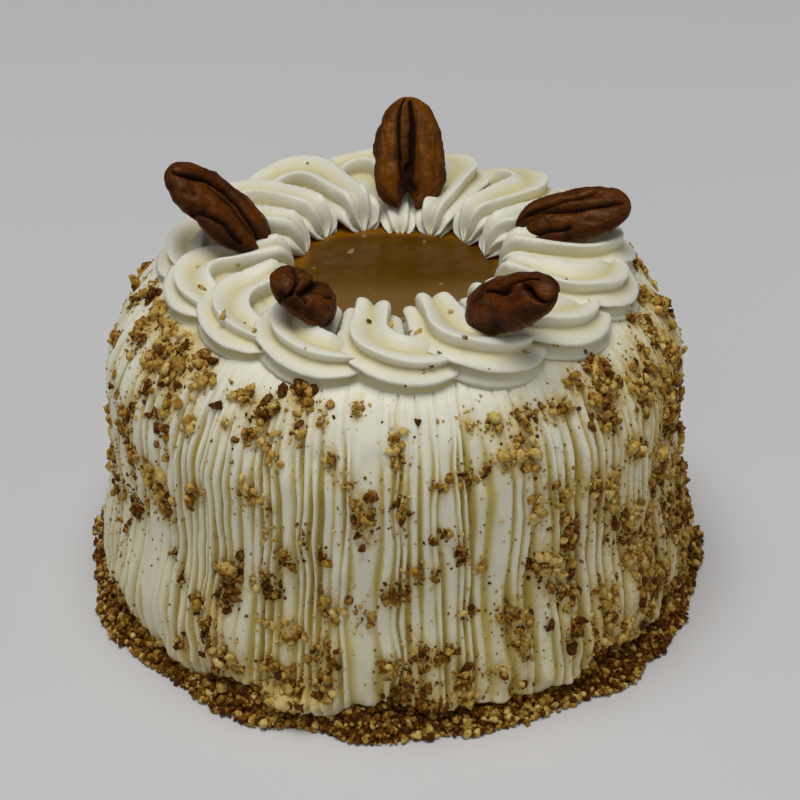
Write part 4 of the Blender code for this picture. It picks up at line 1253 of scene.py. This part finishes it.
def makeNuts():
    spread = nutSpread
    turn, along, sizes, tones, lift = drawNuts()
    skin = tones < spread["skinBelow"]
    for name, kept, flat, seed in (("nutFlesh", ~skin, 0.7, 1), ("nutSkin", skin, 0.5, 2)):
        strew(name, turn[kept], along[kept], sizes[kept], tones[kept], seed, lift[kept], flat=flat)
    halo, dust = drawDust()
    strew("nutCrumbs", *halo, 6)
    strew("nutDust", *dust, 8)
    rng = np.random.default_rng(spread["seed"] + 1)
    drawn = [rng.uniform(*ends, spread["back"]) for ends in spread["backRanges"]]
    single = np.concatenate([np.array(spread["pieces"]).T, drawn], axis=1)
    bearing, up, size, tone = single
    strew("nutPieces", bearing / 360.0 % 1.0, up / 1000.0, size / 1000.0, tone, 3, splits=3,
          flat=0.8, sink=0.35)
    specks = spread["specks"]
    drawn = [rng.uniform(*ends, specks) for ends in ((0, 1), spread["speckUp"], spread["speckSize"])]
    strew("skinSpecks", *drawn, np.zeros(specks), 4, flat=0.5)
    listed = np.array(swirlBits["places"])
    bits = np.array([swirlPoint(int(row[0]), row[1], row[2])[0] for row in listed])
    upward = np.tile((0.0, 0.0, 1.0), (len(bits), 1))
    scatter("nutBits", bits, upward, listed[:, 3] / 1000.0, listed[:, 4], 7, splits=2,
            sink=swirlBits["sink"])
    print("chopped nuts:", len(sizes), "pieces,", len(halo[0]) + len(dust[0]), "crumbs,",
          single.shape[1], "large")


makeNuts()


# The heap of crumbs against the cream: its outer radius and its height there, at turns.
def crumbHeap(turn):
    clump = heapAt(turn) ** 1.5
    return [low + (high - low) * clump for low, high in (footCrumbs["outer"], footCrumbs["pile"])]


# Loose crumbs on the heap, whose height falls in a line from the cream to its outer edge.
def makeFootCrumbs():
    skirt = footCrumbs
    rng = np.random.default_rng(skirt["seed"])
    turn = rng.uniform(0, 1, skirt["count"])
    outer, pile = crumbHeap(turn)
    share = rng.uniform(0, 1, len(turn)) ** skirt["outwards"]
    radius = skirt["inner"] + (outer - skirt["inner"]) * share
    sizes = drawSizes(rng, len(turn), skirt["size"], skirt["smaller"])
    height = pile * (1.0 - share) * rng.uniform(skirt["leastUp"], 1.0, len(turn))
    height = height + skirt["raised"] * sizes
    upward = np.tile((0.0, 0.0, 1.0), (len(turn), 1))
    steps, outSteps = skirt["toneSteps"]
    patchy = skirt["patchy"] * roundNoise(turn, steps, outSteps * share, skirt["seed"] + 2)
    tones = np.clip(skirt["tone"] + patchy + skirt["toneSpread"] * rng.normal(size=len(turn)), 0, 1)
    scatter("footCrumbs", ringPoints(turn * math.tau, radius, height), upward, sizes, tones, 5,
            flat=0.9, sink=0.5)
    print("foot crumbs:", len(turn))


# The bed under the loose crumbs: a ring whose section is their heap's, a little lower.
def makeCrumbBed():
    skirt = footCrumbs
    turn = (np.arange(skirt["bedColumns"]) / skirt["bedColumns"])[None, :]
    share = np.linspace(1.0, 0.0, skirt["bedRows"])[:, None]
    outer, pile = crumbHeap(turn)
    radius = skirt["inner"] + (outer - skirt["bedInside"] - skirt["inner"]) * share
    steps, outSteps = skirt["bedBumpSteps"]
    bumps = skirt["bedBumps"] * (1.0 + roundNoise(turn, steps, outSteps * share, skirt["seed"] + 3))
    height = skirt["bedHigh"] * pile * (1.0 - share) + bumps * (1.0 - share ** 4)
    radius = np.concatenate([radius, radius[-1:]])      # and down to the floor inside the cake
    height = np.concatenate([height, 0.0 * height[-1:]])
    grid = ringPoints(turn * math.tau, radius, height)
    here = np.arange(grid.shape[0] * grid.shape[1]).reshape(grid.shape[:2])
    beside, above = np.roll(here, -1, axis=1), np.roll(here, -1, axis=0)
    faces = np.stack([here, beside, np.roll(beside, -1, axis=0), above], axis=-1).reshape(-1, 4)
    steps, outSteps = skirt["bedToneSteps"]
    patchy = roundNoise(turn, steps, outSteps * np.append(share, 0.0)[:, None], skirt["seed"] + 4)
    makePiece("crumbBed", grid.reshape(-1, 3), faces, nutMaterial,
              {"tone": skirt["bedTone"] + skirt["bedPatchy"] * patchy}, "chopped_nut")


makeFootCrumbs()
makeCrumbBed()
